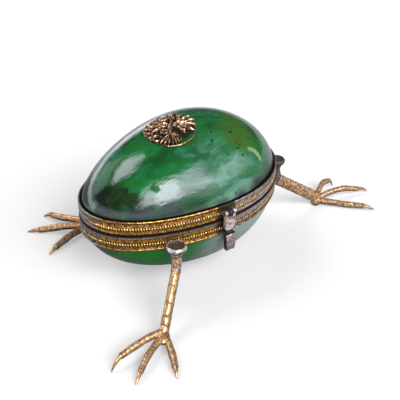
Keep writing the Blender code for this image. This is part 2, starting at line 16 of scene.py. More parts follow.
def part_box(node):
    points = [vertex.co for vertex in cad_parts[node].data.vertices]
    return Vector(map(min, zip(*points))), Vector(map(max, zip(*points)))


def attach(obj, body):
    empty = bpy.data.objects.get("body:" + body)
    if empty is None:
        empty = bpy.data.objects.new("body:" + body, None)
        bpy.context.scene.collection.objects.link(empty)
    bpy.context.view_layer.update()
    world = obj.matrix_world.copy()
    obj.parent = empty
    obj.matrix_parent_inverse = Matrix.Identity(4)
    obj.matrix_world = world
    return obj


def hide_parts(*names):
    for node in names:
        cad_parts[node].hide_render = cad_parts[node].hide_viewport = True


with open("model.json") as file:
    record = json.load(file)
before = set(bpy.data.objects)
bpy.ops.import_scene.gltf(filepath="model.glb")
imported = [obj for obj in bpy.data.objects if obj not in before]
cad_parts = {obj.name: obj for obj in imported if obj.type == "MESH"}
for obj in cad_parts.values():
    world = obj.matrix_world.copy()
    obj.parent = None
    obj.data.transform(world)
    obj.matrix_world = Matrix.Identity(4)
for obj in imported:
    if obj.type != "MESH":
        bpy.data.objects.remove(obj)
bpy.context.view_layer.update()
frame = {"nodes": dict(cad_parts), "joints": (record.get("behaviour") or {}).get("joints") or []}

MM = 0.001
UP = Vector((0.0, 0.0, 1.0))

# the egg, as it would be whole
EGG_LENGTH = 76.0
EGG_RADIUS = 25.0
EGG_SWELL = (0.105, -0.036, -0.113)
STONE_WALL = 3.0
STONE_EDGE = 1.35                    # how far the stone's edge stays from the split

# the bands that edge the split
BAND_GAP = 0.5
BAND_HEIGHT = 4.9
BAND_WALL = 0.45
LIP_PROUD = 0.30
SEAT_REACH = -3.8
SEAT_THICKNESS = 0.8
LID_BEADS_AT = 2.45                  # height of the bead rows from the split
BOWL_BEADS_AT = 3.10
BEAD_PITCH = 0.84
BEAD_SIZE = (0.30, 0.33, 0.62)       # half sizes outwards, along and up
BEAD_SLANT = 18.0
BAND_SEGMENTS = 320

# the hinge
HINGE_X = 6.5
HINGE_Y = 27.19
KNUCKLE_RADIUS = 1.5
KNUCKLE_LENGTH = 3.0
CLEARANCE = 0.3
PIN_BORE = 0.8
KNUCKLE_ARM = 1.1

# the clasp
CLASP_AZIMUTH = -97.0
CLASP_AXIS_HEIGHT = 3.4
CLASP_AXIS_OUT = 1.9
CLASP_BARREL = 1.0
CLASP_BORE = 0.65
LUG_HALF = 0.8
TONGUE_HALF = 2.25
TONGUE_BACK = -1.5
TONGUE_FRONT = -2.3
CATCH_DROP = 2.8

# the emblem on the lid
EMBLEM_CENTRE = (-5.9, -1.9)
EMBLEM_RADIUS = 8.4
EMBLEM_TURN = 40.0
EMBLEM_BEAD_SIZE = (0.28, 0.26, 0.28)

# the legs
DISC_RADIUS = 3.25
DISC_DROP = 1.6
DISC_RIM = 1.9
DISC_STANDOFF = 4.4
FUNNEL_LENGTH = 2.0
THIGH_LENGTH = 5.1
THIGH_RADIUS = 1.62
KNEE_OUT = 1.0
SHANK_RADIUS = 1.4
SHANK_DEPTH = 1.5
LEG_REACH = 15.2
ANKLE_HEIGHT = 3.2
SPLIT_HEIGHT = 26.6
SCUTE_LINES = (0.05, 0.25, 0.37, 0.53, 0.75, 0.89)
SCUTE_RELIEF = 0.17
TOE_LENGTH = 20.0
TOE_RADIUS = 1.03
TOE_DEPTH = 1.15
TOE_JOINTS = (0.0, 0.28, 0.54, 0.80)
TOE_GIRTHS = (1.15, 1.0, 1.04, 0.88)
CLAW_RADIUS = 0.16

Toe = namedtuple("Toe", "turn length girth bow heights")
Leg = namedtuple("Leg", "seat lean reach toes")

# reach in leg reaches; a toe's length in toe lengths, its bow a share of that, its heights in toe radii
LEGS = {
    "leg_front": Leg(-113.7, -146.6, 1.0, (
        Toe(-32.4, 1.01, 1.02, -0.025, (3.7, 4.2, 4.0, 3.7, 0.3)),
        Toe(-6.4, 1.03, 1.0, -0.03, (2.3, 2.6, 2.6, 1.85, 0.3)),
        Toe(28.6, 0.85, 1.08, 0.03, (2.8, 2.7, 2.3, 1.65, 0.3)))),
    "leg_left": Leg(97.0, 161.7, 0.88, (
        Toe(-52.0, 1.02, 1.06, 0.02, (3.9, 3.5, 2.7, 2.3, 0.3)),
        Toe(-20.6, 1.12, 1.12, 0.0, (2.4, 2.4, 1.9, 1.15, 0.3)),
        Toe(29.0, 1.01, 1.14, -0.05, (2.1, 2.1, 1.65, 1.2, 0.3)))),
    "leg_right": Leg(-16.2, -14.5, 1.295, (
        Toe(-40.5, 1.12, 1.03, 0.0, (1.85, 1.65, 1.45, 1.6, 0.6)),
        Toe(-4.5, 1.19, 0.98, 0.025, (2.5, 3.6, 3.75, 2.4, 0.5)),
        Toe(30.5, 0.82, 1.0, 0.06, (2.5, 4.3, 5.0, 3.95, 0.4)))),
}

# how dirty each leg is, and how much darker it is painted as shade; the left leg, standing in shade, is set
# below 0 so it is painted lighter
SOILING_AND_SHADE = {"leg_front": 0.02, "leg_left": -0.15, "leg_right": 0.36}

stone_low, stone_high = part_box("bowl_stone")
lid_hinge = next(joint for joint in frame["joints"] if joint["name"] == "lid_hinge")
CENTRE = Vector(((stone_low.x + stone_high.x) / 2, (stone_low.y + stone_high.y) / 2, lid_hinge["pos_m"][2]))


# curves and easing

def ease(low, high, value):
    """Smooth step from 0 to 1 between two values."""
    share = min(max((value - low) / (high - low), 0.0), 1.0)
    return share * share * (3.0 - 2.0 * share)


def through(stops, steps):
    """Smooth run through stops of any number of values, with that many steps in each gap."""
    run = []
    last = len(stops) - 1
    for i in range(last):
        a, b, c, d = stops[max(i - 1, 0)], stops[i], stops[i + 1], stops[min(i + 2, last)]
        for step in range(steps):
            t = step / steps
            run.append(tuple(
                0.5 * (2 * q + (r - p) * t + (2 * p - 5 * q + 4 * r - s) * t * t
                       + (3 * q - p - 3 * r + s) * t ** 3)
                for p, q, r, s in zip(a, b, c, d)))
    run.append(tuple(float(value) for value in stops[last]))
    return run


# the egg's form

def swell(t):
    first, second, third = EGG_SWELL
    return 1.0 + first * t + second * t * t + third * t ** 3


def egg_radius(x, inset=0.0):
    """Radius about the long axis at x, of the egg made smaller all round by the inset."""
    t = x / (EGG_LENGTH / 2 - inset)
    if abs(t) >= 1.0:
        return 0.0
    return (EGG_RADIUS - inset) * sqrt(1.0 - t * t) * swell(t)


def outline(theta, inset=0.0):
    """Plan point of the egg at the split, theta from the blunt end."""
    t = cos(theta)
    return Vector(((EGG_LENGTH / 2 - inset) * t, (EGG_RADIUS - inset) * sin(theta) * swell(t), 0.0))


def outline_normal(theta):
    step = 0.0005
    along = outline(theta + step) - outline(theta - step)
    return Vector((along.y, -along.x, 0.0)).normalized()


def outline_at(theta, out, height=0.0):
    """Point at a distance outside the egg's outline, at a height over the split."""
    point = outline(theta) + outline_normal(theta) * out
    point.z = height
    return point


def theta_facing(azimuth):
    """Where along the outline the egg faces an azimuth in degrees."""
    wanted = radians(azimuth) % tau
    side = Vector((-sin(wanted), cos(wanted), 0.0))
    low, high = wanted - pi / 2, wanted + pi / 2
    for _ in range(50):
        middle = (low + high) / 2
        if outline_normal(middle).dot(side) < 0.0:
            low = middle
        else:
            high = middle
    return (low + high) / 2


def station(azimuth):
    """Frame on the outline: X along the band, Y inwards, Z up."""
    theta = theta_facing(azimuth)
    normal = outline_normal(theta)
    along = Vector((-normal.y, normal.x, 0.0))
    place = Matrix((along, -normal, UP)).transposed().to_4x4()
    place.translation = outline(theta)
    return place


def shell_point(theta, z, inset):
    """Point of the egg's surface at height z, over the plan ray at theta."""
    middle_x = EGG_LENGTH * EGG_SWELL[0] / 2
    rim = outline(theta, inset)
    low, high = 0.0, 1.0
    for _ in range(24):
        share = (low + high) / 2
        x = middle_x + (rim.x - middle_x) * share
        y = rim.y * share
        if egg_radius(x, inset) ** 2 - y * y > z * z:
            low = share
        else:
            high = share
    return Vector((middle_x + (rim.x - middle_x) * low, rim.y * low, z))


def dome_point(x, y, lift):
    """Point above the egg's surface by the lift, over a plan point."""
    step = 0.1
    radius = egg_radius(x)
    slope = (egg_radius(x + step) - egg_radius(x - step)) / (2 * step)
    z = sqrt(max(radius ** 2 - y * y, 0.0))
    normal = Vector((-radius * slope, y, z)).normalized()
    return Vector((x, y, z)) + normal * lift


# mesh building

class Form:
    """Surface under construction. Each point is marked with its soiling and painted shade, and with its
    gilding, from 0 to 1.
    """

    def __init__(self):
        self.points = []
        self.faces = []
        self.marks = {"grime_and_shade": [], "gilding": []}

    def add_rings(self, rings, loop=False):
        """Skins rings of marked points; a ring of one point closes an end, and other ends get a cap."""
        starts = []
        for ring in rings:
            starts.append(len(self.points))
            for point, grime_and_shade, gilding in ring:
                self.points.append(point)
                self.marks["grime_and_shade"].append(grime_and_shade)
                self.marks["gilding"].append(gilding)
        sizes = [len(ring) for ring in rings]
        pairs = list(zip(range(len(rings)), range(1, len(rings))))
        if loop:
            pairs.append((len(rings) - 1, 0))
        for near, far in pairs:
            count = max(sizes[near], sizes[far])
            for i in range(count):
                j = (i + 1) % count
                a, b = starts[near], starts[far]
                if sizes[near] == 1:
                    self.faces.append((a, b + j, b + i))
                elif sizes[far] == 1:
                    self.faces.append((a + i, a + j, b))
                else:
                    self.faces.append((a + i, a + j, b + j, b + i))
        if not loop:
            for end in (0, len(rings) - 1):
                if sizes[end] > 1:
                    self.faces.append(tuple(range(starts[end], starts[end] + sizes[end])))

    def piece(self, name, body, slot, finish, replaced=(), crease=40.0):
        """Finished object in the frame, riding on its body."""
        mesh = bpy.data.meshes.new(name)
        mesh.from_pydata([CENTRE + point * MM for point in self.points], [], self.faces)
        bm = bmesh.new()
        bm.from_mesh(mesh)
        bmesh.ops.recalc_face_normals(bm, faces=bm.faces)
        bm.to_mesh(mesh)
        bm.free()
        for mark, values in self.marks.items():
            attribute = mesh.attributes.new(mark, "FLOAT", "POINT")
            attribute.data.foreach_set("value", values)
        mesh.shade_smooth()
        mesh.set_sharp_from_angle(angle=radians(crease))
        mesh.materials.append(finish)
        thing = bpy.data.objects.new(name, mesh)
        bpy.context.scene.collection.objects.link(thing)
        settle(thing, body, replaced)
        return thing


def settle(thing, body, replaced=()):
    """Ties a finished object to its body and hides the nodes it stands for."""
    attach(thing, body)
    if replaced:
        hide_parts(*replaced)


def plain(point, grime_and_shade=0.0, gilding=1.0):
    return (point, grime_and_shade, gilding)


def lathe(centre, axis, profile, sides, loop=False):
    """Rings about an axis; the profile gives distance along, radius, soiling and painted shade, and gilding.
    """
    across = axis.orthogonal().normalized()
    up = axis.cross(across)
    rings = []
    for along, radius, grime_and_shade, gilding in profile:
        middle = centre + axis * along
        if radius == 0.0:
            rings.append([(middle, grime_and_shade, gilding)])
            continue
        turns = [tau * i / sides for i in range(sides)]
        rings.append([(middle + (across * cos(a) + up * sin(a)) * radius, grime_and_shade, gilding) for a in turns])
    return rings


def sweep(points, across, ring_at):
    """Rings along points of one plane; ring_at gives side, front, soiling and painted shade, and gilding
    round each.
    """
    rings = []
    last = len(points) - 1
    for i, point in enumerate(points):
        along = (points[min(i + 1, last)] - points[max(i - 1, 0)]).normalized()
        front = along.cross(across)
        rings.append([(point + across * side + front * ahead, grime_and_shade, gilding)
                      for side, ahead, grime_and_shade, gilding in ring_at(i)])
    return rings


# shader maths

class Value:
    """A number, colour or vector in a finish; arithmetic on it adds Math nodes."""

    def __init__(self, tree, socket):
        self.tree = tree
        self.socket = socket

    def maths(self, operation, *values):
        return self.tree.node("Math", {"operation": operation}, dict(enumerate(values)))

    def __add__(self, other):
        return self.maths("ADD", self, other)

    def __radd__(self, other):
        return self.maths("ADD", other, self)

    def __sub__(self, other):
        return self.maths("SUBTRACT", self, other)

    def __rsub__(self, other):
        return self.maths("SUBTRACT", other, self)

    def __mul__(self, other):
        return self.maths("MULTIPLY", self, other)

    def __rmul__(self, other):
        return self.maths("MULTIPLY", other, self)

    def at_least(self, other):
        return self.maths("MAXIMUM", self, other)

    def size(self):
        return self.maths("ABSOLUTE", self)

    def eased(self, low, high):
        """Smooth step of this value, 0 at low and 1 at high."""
        return self.tree.node("MapRange", {"interpolation_type": "SMOOTHSTEP"},
                                {"Value": self, "From Min": low, "From Max": high})


class Tree:
    """Shader nodes under construction."""

    def __init__(self, tree):
        self.tree = tree

    def node(self, kind, settings=None, values=None, output=0):
        """Output of a new node: its settings are set first, then its sockets are given values or links."""
        node = self.tree.nodes.new("ShaderNode" + kind)
        for name, setting in (settings or {}).items():
            setattr(node, name, setting)
        for socket, value in (values or {}).items():
            self.feed(node.inputs[socket], value)
        return Value(self, node.outputs[output])

    def feed(self, socket, value):
        if isinstance(value, Value):
            self.tree.links.new(value.socket, socket)
        elif isinstance(value, tuple) and socket.type == "RGBA":
            socket.default_value = (*value, 1.0)
        else:
            socket.default_value = value


class Finish(Tree):
    """A material under construction, with constants set on its shader."""

    def __init__(self, name, constants):
        self.material = bpy.data.materials.new(name)
        self.material.use_nodes = True
        super().__init__(self.material.node_tree)
        self.shader = self.tree.nodes["Principled BSDF"]
        self.set(constants)

    def set(self, values):
        for socket, value in values.items():
            self.feed(self.shader.inputs[socket], value)

    def place(self):
        """Where the surface is, in millimetres about the middle of the split."""
        shift = tuple(-CENTRE / MM)
        return self.node("Mapping", {}, {
            "Vector": self.node("TexCoord", output=3), "Location": shift, "Scale": (1 / MM,) * 3})

    def noise(self, scale, detail=3.0, roughness=0.5, distortion=0.0, at=None):
        return self.node("TexNoise", {}, {
            "Vector": at or self.place(), "Scale": scale, "Detail": detail, "Roughness": roughness,
            "Distortion": distortion})

    def scatter(self, at, scale, reach):
        """The place, pushed about by noise as far as the reach."""
        push = self.node("TexNoise", {}, {"Vector": at, "Scale": scale, "Detail": 3.0}, output=1)
        middled = self.node("VectorMath", {"operation": "SUBTRACT"}, {0: push, 1: (0.5, 0.5, 0.5)})
        return self.node("VectorMath", {"operation": "MULTIPLY_ADD"},
                         {0: middled, 1: (2 * reach,) * 3, 2: at})

    def near(self, spot, radius, softness, at):
        """1 within a radius of a spot, eased to 0 over the softness."""
        away = self.node("VectorMath", {"operation": "DISTANCE"}, {0: at, 1: spot}, output=1)
        return away.eased(radius + softness, radius)

    def spots(self, spots, at):
        """Several soft spots together, each given as x, y, z, radius and softness."""
        all_of_them = 0.0
        for x, y, z, radius, softness in spots:
            spot = self.near((x, y, z), radius, softness, at)
            all_of_them = spot.at_least(all_of_them)
        return all_of_them

    def mark(self, name):
        return self.node("Attribute", {"attribute_name": name}, output=2)

    def mix(self, first, second, share):
        return self.node("Mix", {"data_type": "RGBA"}, {0: share, 6: first, 7: second}, output=2)

    def bump(self, height, distance, strength=1.0):
        return self.node("Bump", {}, {"Height": height, "Distance": distance * MM, "Strength": strength})


# finishes

# spots on the stone: place and radius, and the softness of all but the specks
SPECKS = (
    (5.2, -8.1, 23.8, 0.5), (3.9, -10.4, 22.9, 0.5), (1.8, -13.1, 21.4, 0.6), (2.6, -12.7, 21.5, 0.5),
    (10.7, -12.2, 21.3, 0.75), (20.4, -10.4, 19.0, 0.6), (16.8, -14.5, 18.0, 0.6), (9.9, -15.8, 19.0, 0.4),
    (9.5, -17.2, 17.8, 0.5), (10.0, -19.0, 15.8, 0.7), (4.3, -17.8, 17.7, 0.5), (13.7, -1.5, 23.9, 0.6),
    (-18.1, 4.9, 20.4, 0.5), (-12.3, -10.1, 20.5, 0.4), (-18.2, -6.6, 19.9, 0.4), (2.0, -24.1, 7.1, 0.7),
    (-9.0, -12.0, 20.8, 0.4), (-6.0, -14.2, 19.9, 0.35),
)
DUSK = ((-34.6, -1.6, 9.4, 2.0, 1.2), (-33.4, -3.0, 10.2, 2.4, 1.2), (-32.0, -4.6, 11.2, 2.6, 1.4),
        (-30.8, -7.2, 10.8, 2.6, 1.6), (-28.6, -10.2, 10.4, 1.5, 2.0), (-26.4, -12.8, 10.2, 0.4, 1.8),
        (-24.0, -14.8, 10.4, 0.2, 1.5))
# painted shade on the stone just above the band, all round the lid
SHADE_OVER_BAND = ((-34.0, -6.0, 6.5, 2.0, 5.0), (-28.0, -13.0, 6.5, 2.0, 5.0), (-20.0, -18.5, 5.5, 1.8, 5.0),
         (-12.0, -22.0, 5.0, 1.4, 4.5), (-34.0, 6.0, 8.0, 2.0, 5.0), (-4.0, -23.5, 5.0, 1.0, 3.5),
         (4.0, -24.0, 5.0, 1.0, 3.5), (13.0, -22.5, 5.5, 1.5, 4.0), (21.0, -19.0, 6.0, 2.0, 4.5),
         (28.0, -14.0, 6.5, 2.0, 5.0), (33.0, -7.0, 7.0, 2.0, 5.0))
WARM = ((13.5, -13.0, 20.2, 4.2, 5.0), (18.0, -6.0, 21.5, 1.5, 6.0))
STREAK = ((14.2, -17.6, 16.0, 0.0, 1.3), (15.4, -17.7, 15.4, 0.1, 1.3), (16.5, -18.0, 14.4, 0.3, 1.2),
          (17.2, -18.6, 13.3, 0.3, 1.2), (17.6, -19.3, 12.2, 0.2, 1.2))

SEAM_SHADOW_TOP = 5.7                       # height of the painted shadow line on the stone by the band
SEAM_SHADOW_LIFT = 1.6                      # how far it rises towards the blunt end, on the lid
SHADE_LIFT = 16.0                    # middle over the stone of the ball of painted shade, with soiling, under the emblem
SHADE_RADIUS = 17.9


def hardstone():
    """Polished green stone with drawn-out clouds, a warmer patch, a milk-white flank partly painted as
    reflection, a painted grey sheen, painted shade and reflection by the bands and under the emblem, and
    black specks.
    """
    stone = Finish("hardstone", {"IOR": 1.5, "Subsurface Weight": 0.1, "Subsurface Radius": (0.4, 1.0, 0.5),
                                 "Subsurface Scale": 0.0012})
    place = stone.place()
    grained = stone.node("Mapping", {}, {
        "Vector": place, "Rotation": (0.0, -0.35, 0.25), "Scale": (0.40, 1.0, 1.0)})
    drift = stone.scatter(grained, 0.12, 4.0)
    ragged = stone.scatter(place, 0.55, 1.7)
    shaken = stone.scatter(place, 1.4, 0.5)
    clouds = stone.noise(0.08, 4.0, 0.55, 0.0, drift).eased(0.36, 0.62)
    wisps = stone.noise(0.24, 5.0, 0.62, 0.3, drift)
    veins = stone.noise(0.55, 3.0, 0.6, 0.4, drift)
    grain = stone.noise(1.6, 3.0, 0.6, 0.0, place)
    colour = stone.mix((0.004, 0.042, 0.007), (0.006, 0.098, 0.014), clouds)
    colour = stone.mix(colour, (0.012, 0.142, 0.062), wisps.eased(0.50, 0.72) * 0.8)
    colour = stone.mix(colour, (0.004, 0.040, 0.012), veins.eased(0.54, 0.68) * 0.6)
    colour = stone.mix(colour, (0.003, 0.034, 0.010), grain.eased(0.52, 0.70) * 0.45)
    vivid = stone.near((-24.0, -16.0, -13.0), 6.0, 14.0, ragged)
    colour = stone.mix(colour, (0.009, 0.150, 0.012), vivid * (0.55 + clouds * 0.45))
    x, z = (stone.node("SeparateXYZ", {}, {0: place}, output=i) for i in (0, 2))
    # milk-white colour on the front flank: partly the stone's own, partly painted reflection of the bright
    # table
    milky_and_sheen = stone.near((2.0, -22.0, 10.0), 2.0, 21.0, place) * z.eased(-9.0, 2.0)
    colour = stone.mix(colour, (0.080, 0.205, 0.135), milky_and_sheen * (0.20 + wisps.eased(0.40, 0.64) * 0.75))
    # painted reflection: a grey veil on the bowl's front flank
    grey_sheen = stone.near((7.0, -20.0, -12.0), 10.5, 12.0, ragged)
    colour = stone.mix(colour, (0.20, 0.27, 0.21), grey_sheen * 0.85)
    warm = stone.spots(WARM, ragged)
    colour = stone.mix(colour, (0.028, 0.092, 0.009), warm * 0.9)
    rust = stone.near((11.8, -14.3, 19.8), 0.6, 2.2, ragged) * veins.eased(0.42, 0.58)
    colour = stone.mix(colour, (0.060, 0.050, 0.012), rust * 0.7)
    colour = stone.mix(colour, (0.28, 0.36, 0.17), stone.spots(STREAK, shaken) * 0.7)
    # painted shade above the band
    colour = stone.mix(colour, (0.010, 0.020, 0.016), stone.spots(SHADE_OVER_BAND, ragged) * (0.65 + wisps * 0.5))
    dusk = stone.spots(DUSK, ragged) * (0.80 + grain.eased(0.3, 0.6) * 0.2)
    black = stone.mix((0.003, 0.006, 0.004), (0.010, 0.022, 0.004), wisps.eased(0.4, 0.6))
    colour = stone.mix(colour, black, dusk)
    specks = stone.noise(0.42, 2.0, 0.5, 0.0, ragged).eased(0.735, 0.77)
    specks = specks.at_least(stone.spots([(x, y, z, r * 0.4, r * 0.7) for x, y, z, r in SPECKS], shaken))
    colour = stone.mix(colour, (0.004, 0.008, 0.003), specks * 0.9)
    on_lid = z.eased(-1.0, 1.0)
    # painted shadow and reflection of the band on the stone by its edge, wider on the lid towards the blunt
    # end
    seam_shadow = (z.size() - on_lid * x.eased(8.0, 34.0) * SEAM_SHADOW_LIFT).eased(SEAM_SHADOW_TOP, SEAM_SHADOW_TOP - 0.4)
    seam_shadow = seam_shadow.at_least(on_lid * z.eased(9.0, 5.8) * x.eased(-4.0, 14.0) * 0.65)
    # painted shade, with soiling, on the stone under the openwork emblem
    shade = stone.near(tuple(dome_point(*EMBLEM_CENTRE, SHADE_LIFT)), SHADE_RADIUS, 0.9, place)
    colour = stone.mix(colour, (0.010, 0.008, 0.004), (seam_shadow * 0.95).at_least(shade * 0.9))
    scratched = stone.near((-22.0, -13.2, 13.9), 0.9, 1.6, ragged) * veins.eased(0.42, 0.5)
    polish = stone.noise(0.30, 4.0, 0.62, 0.0, grained) + stone.noise(1.1, 3.0, 0.6, 0.0, grained) * 0.12
    stone.set({
        "Base Color": colour,
        "Metallic": seam_shadow,
        "Roughness": 0.10 + grain.eased(0.45, 0.75) * 0.08 + (seam_shadow * 0.5).at_least(scratched * 0.8),
        "Normal": stone.bump(polish, 0.26, 0.5),
    })
    return stone.material


def worn_metal(name, gold, silver, dirt_and_shade, roughness=0.24, pitting=0.05, dents=0.06, soiling=0.9,
               speckle=0.8, metallic=1.0):
    """Gilded metal that is rubbed to silver where its gilding mark is low, and dark in its recesses, with
    soiling and painted shade.

    Gold and silver are pairs of colours for its blots. Pitting and dents are depths in millimetres;
    soiling and speckle say how unevenly it is darkened by soiling and painted shade.
    """
    metal = Finish(name, {"Metallic": 1.0})
    place = metal.place()
    patches = metal.noise(0.40, 4.0, 0.6, 0.4, place)
    blots = metal.noise(1.1, 3.0, 0.6, 0.0, place)
    fine = metal.noise(2.6, 3.0, 0.65, 0.0, place)
    gilding = (metal.mark("gilding") + (patches - 0.5) * 1.4 + (fine - 0.5) * 0.6).eased(0.3, 0.7)
    warm = metal.mix(gold[0], gold[1], blots.eased(0.40, 0.60))
    cool = metal.mix(silver[0], silver[1], blots.eased(0.42, 0.58))
    colour = metal.mix(cool, warm, gilding)
    # soiling, and painted shade in recesses and gaps, darken the metal towards its dark colour
    grime_and_shade = (metal.mark("grime_and_shade") + (fine - 0.5) * speckle + (blots - 0.48) * soiling).eased(0.12, 0.72)
    metal.set({
        "Base Color": metal.mix(colour, dirt_and_shade, grime_and_shade * 0.95),
        "Metallic": metallic - grime_and_shade * 0.4,
        "Roughness": roughness + fine.eased(0.3, 0.8) * 0.12 + grime_and_shade * 0.30,
        "Normal": metal.node("Bump", {}, {"Height": fine, "Distance": pitting * MM, "Strength": 0.8,
                                          "Normal": metal.bump(blots, dents, 1.0)}),
    })
    return metal.material


HARDSTONE = hardstone()
GILT = worn_metal(
    "silver_gilt", ((0.66, 0.36, 0.055), (0.28, 0.11, 0.016)), ((0.50, 0.44, 0.38), (0.30, 0.25, 0.22)),
    (0.016, 0.009, 0.004), pitting=0.10, soiling=0.7, speckle=0.5)
BEAD_GILT = worn_metal(
    "bead_gilt", ((1.0, 0.72, 0.30), (0.72, 0.38, 0.09)), ((0.50, 0.42, 0.34), (0.25, 0.20, 0.16)),
    (0.016, 0.009, 0.004), roughness=0.16)
# its red-brown dark colour stands for both soiling and painted shade
ROSE_GOLD = worn_metal(
    "rose_gold", ((0.74, 0.54, 0.29), (0.20, 0.065, 0.035)), ((0.60, 0.46, 0.32), (0.16, 0.07, 0.05)),
    (0.026, 0.008, 0.004), roughness=0.18, pitting=0.10, dents=0.15, soiling=1.3)
LEG_GILT = worn_metal(
    "leg_gilt", ((0.68, 0.45, 0.22), (0.34, 0.18, 0.07)), ((0.72, 0.66, 0.64), (0.24, 0.18, 0.14)),
    (0.030, 0.018, 0.010), roughness=0.30, dents=0.10, soiling=0.6, speckle=0.15, metallic=0.75)
WORN_SILVER = worn_metal(
    "worn_silver", ((0.62, 0.49, 0.37), (0.34, 0.24, 0.18)), ((0.78, 0.70, 0.64), (0.38, 0.30, 0.26)),
    (0.022, 0.015, 0.010), dents=0.10, speckle=0.5)


# the stone

def stone_shell(side):
    """Half of the hollow egg; side is 1 for the lid and -1 for the bowl."""
    segments, rings = 144, 30
    tuck = BAND_WALL + 0.25
    middle = Vector((EGG_LENGTH * EGG_SWELL[0] / 2, 0.0, 0.0))

    def ring(share, inset, tucked):
        start = asin(STONE_EDGE / (EGG_RADIUS - inset))
        z = (EGG_RADIUS - inset) * sin(start + (pi / 2 - start) * share)
        points = []
        for i in range(segments):
            theta = tau * i / segments
            point = shell_point(theta, z, inset)
            inner = outline_at(theta, -tuck)
            if tucked and (inner - middle).length < (Vector((point.x, point.y, 0.0)) - middle).length:
                point = Vector((inner.x, inner.y, z))
            points.append(plain(Vector((point.x, point.y, side * z))))
        return points

    def top(inset):
        return [plain(Vector((middle.x, 0.0, side * egg_radius(middle.x, inset))))]

    shares = [i / rings for i in range(rings)]
    outer = [ring(share, 0.0, True) for share in reversed(shares)]
    inner = [ring(share, STONE_WALL, False) for share in shares]
    form = Form()
    form.add_rings([top(0.0)] + outer + inner + [top(STONE_WALL)])
    return form


# the bands

def band_section(side, beads_at):
    """Outline of a band across its run: distance out, distance from the split, soiling and painted shade,
    and gilding. The gap between the bands, the seat and the bead groove are painted dark, as shade.
    """
    low = BAND_GAP / 2
    high = low + BAND_HEIGHT
    groove = BEAD_SIZE[2]
    wall = -BAND_WALL + 0.05
    if side > 0:
        edge = ((-0.25, low, 1.5, 1.0), (-0.05, low + 0.36, 1.5, 1.0), (0.10, low + 0.50, 0.6, 1.0),
                (0.12, low + 0.72, 0.0, 0.9))
    else:
        edge = ((LIP_PROUD - 0.16, low, 1.5, 0.4), (LIP_PROUD - 0.02, low + 0.18, 1.0, 0.2),
                (LIP_PROUD, low + 0.34, -0.2, 0.2), (LIP_PROUD, low + 0.62, -0.5, 0.1),
                (LIP_PROUD - 0.08, low + 0.74, 0.3, 0.4), (0.06, low + 0.84, 0.9, 0.9))
    return ((SEAT_REACH, low, 1.0, 1.0),) + edge + (
        (0.05, low + 1.0, 0.3, 1.0), (0.07, (low + 1.0 + beads_at - groove) / 2, 0.15, 0.9),
        (0.06, beads_at - groove - 0.06, 0.6, 1.0), (-0.06, beads_at - groove + 0.06, 1.4, 1.0),
        (-0.12, beads_at, 1.3, 1.0), (-0.06, beads_at + groove - 0.06, 1.4, 1.0),
        (0.12, beads_at + groove + 0.06, 0.2, 0.9), (0.12, beads_at + groove + 0.16, 0.1, 0.8),
        (0.02, beads_at + groove + 0.30, 0.6, 1.0), (-0.06, (beads_at + groove + high) / 2 - 0.1, 0.35, 1.0),
        (0.0, high - 0.72, 0.6, 1.0), (0.14, high - 0.56, 0.8, 0.9),
        (LIP_PROUD - 0.06, high - 0.44, 0.1, 0.8),
        (LIP_PROUD, high - 0.30, 0.12, 0.62), (LIP_PROUD - 0.02, high - 0.14, 0.15, 0.62),
        (LIP_PROUD - 0.14, high, 0.3, 0.7), (wall + 0.08, high, 0.8, 0.5), (wall, high - 0.08, 1.0, 0.5),
        (wall, low + SEAT_THICKNESS, 0.9, 1.0), (SEAT_REACH, low + SEAT_THICKNESS, 0.3, 1.0),
    )


def gilding_left(theta):
    """How much gilding the band still has along its run: worn at the narrow end and past the clasp."""
    clasp = theta_facing(CLASP_AZIMUTH) % tau
    turn = theta % tau
    front = ease(pi - 0.45, pi + 0.50, turn) * (1.0 - 0.62 * ease(clasp - 0.02, clasp + 0.06, turn))
    back = 0.5 * (1.0 - ease(pi - 0.9, pi - 0.5, turn))
    return max(front, back if turn < pi else 0.0)


def height_left(theta, side):
    """How tall a band is along its run: a little less round the blunt end."""
    return 1.0 - (0.06 if side > 0 else 0.18) * ease(6.0, 24.0, outline(theta).x)


def clasp_shadow(point, out):
    """Painted shadow on the band round the clasp."""
    away = station(CLASP_AZIMUTH).inverted() @ point
    return ease(4.4, 2.4, abs(away.x)) * ease(LIP_PROUD + 0.3, 0.1, out)


def band(side, beads_at):
    section = band_section(side, beads_at)
    form = Form()
    rings = []
    for i in range(BAND_SEGMENTS):
        theta = tau * i / BAND_SEGMENTS
        left = gilding_left(theta)
        tall = height_left(theta, side)
        ring = []
        for out, z, grime_and_shade, gilding in section:
            point = outline_at(theta, out, side * z * (tall if z > SEAT_THICKNESS + BAND_GAP else 1.0))
            # the painted shadow round the clasp darkens the band there
            ring.append((point, max(grime_and_shade, clasp_shadow(point, out)), gilding * max(left, 0.2 * (out < 0.0))))
        rings.append(ring)
    form.add_rings(rings, loop=True)
    return form


def barrel(form, middle, axis, half, radius, bore, grime_and_shade=0.1):
    """Bored barrel with rounded edges."""
    edge = 0.12
    profile = (
        (-half, bore, 0.9, 0.3), (-half, radius - edge, grime_and_shade, 0.2), (-half + edge, radius, grime_and_shade, 0.3),
        (half - edge, radius, grime_and_shade, 0.3), (half, radius - edge, grime_and_shade, 0.2), (half, bore, 0.9, 0.3),
    )
    form.add_rings(lathe(middle, axis, profile, 40), loop=True)


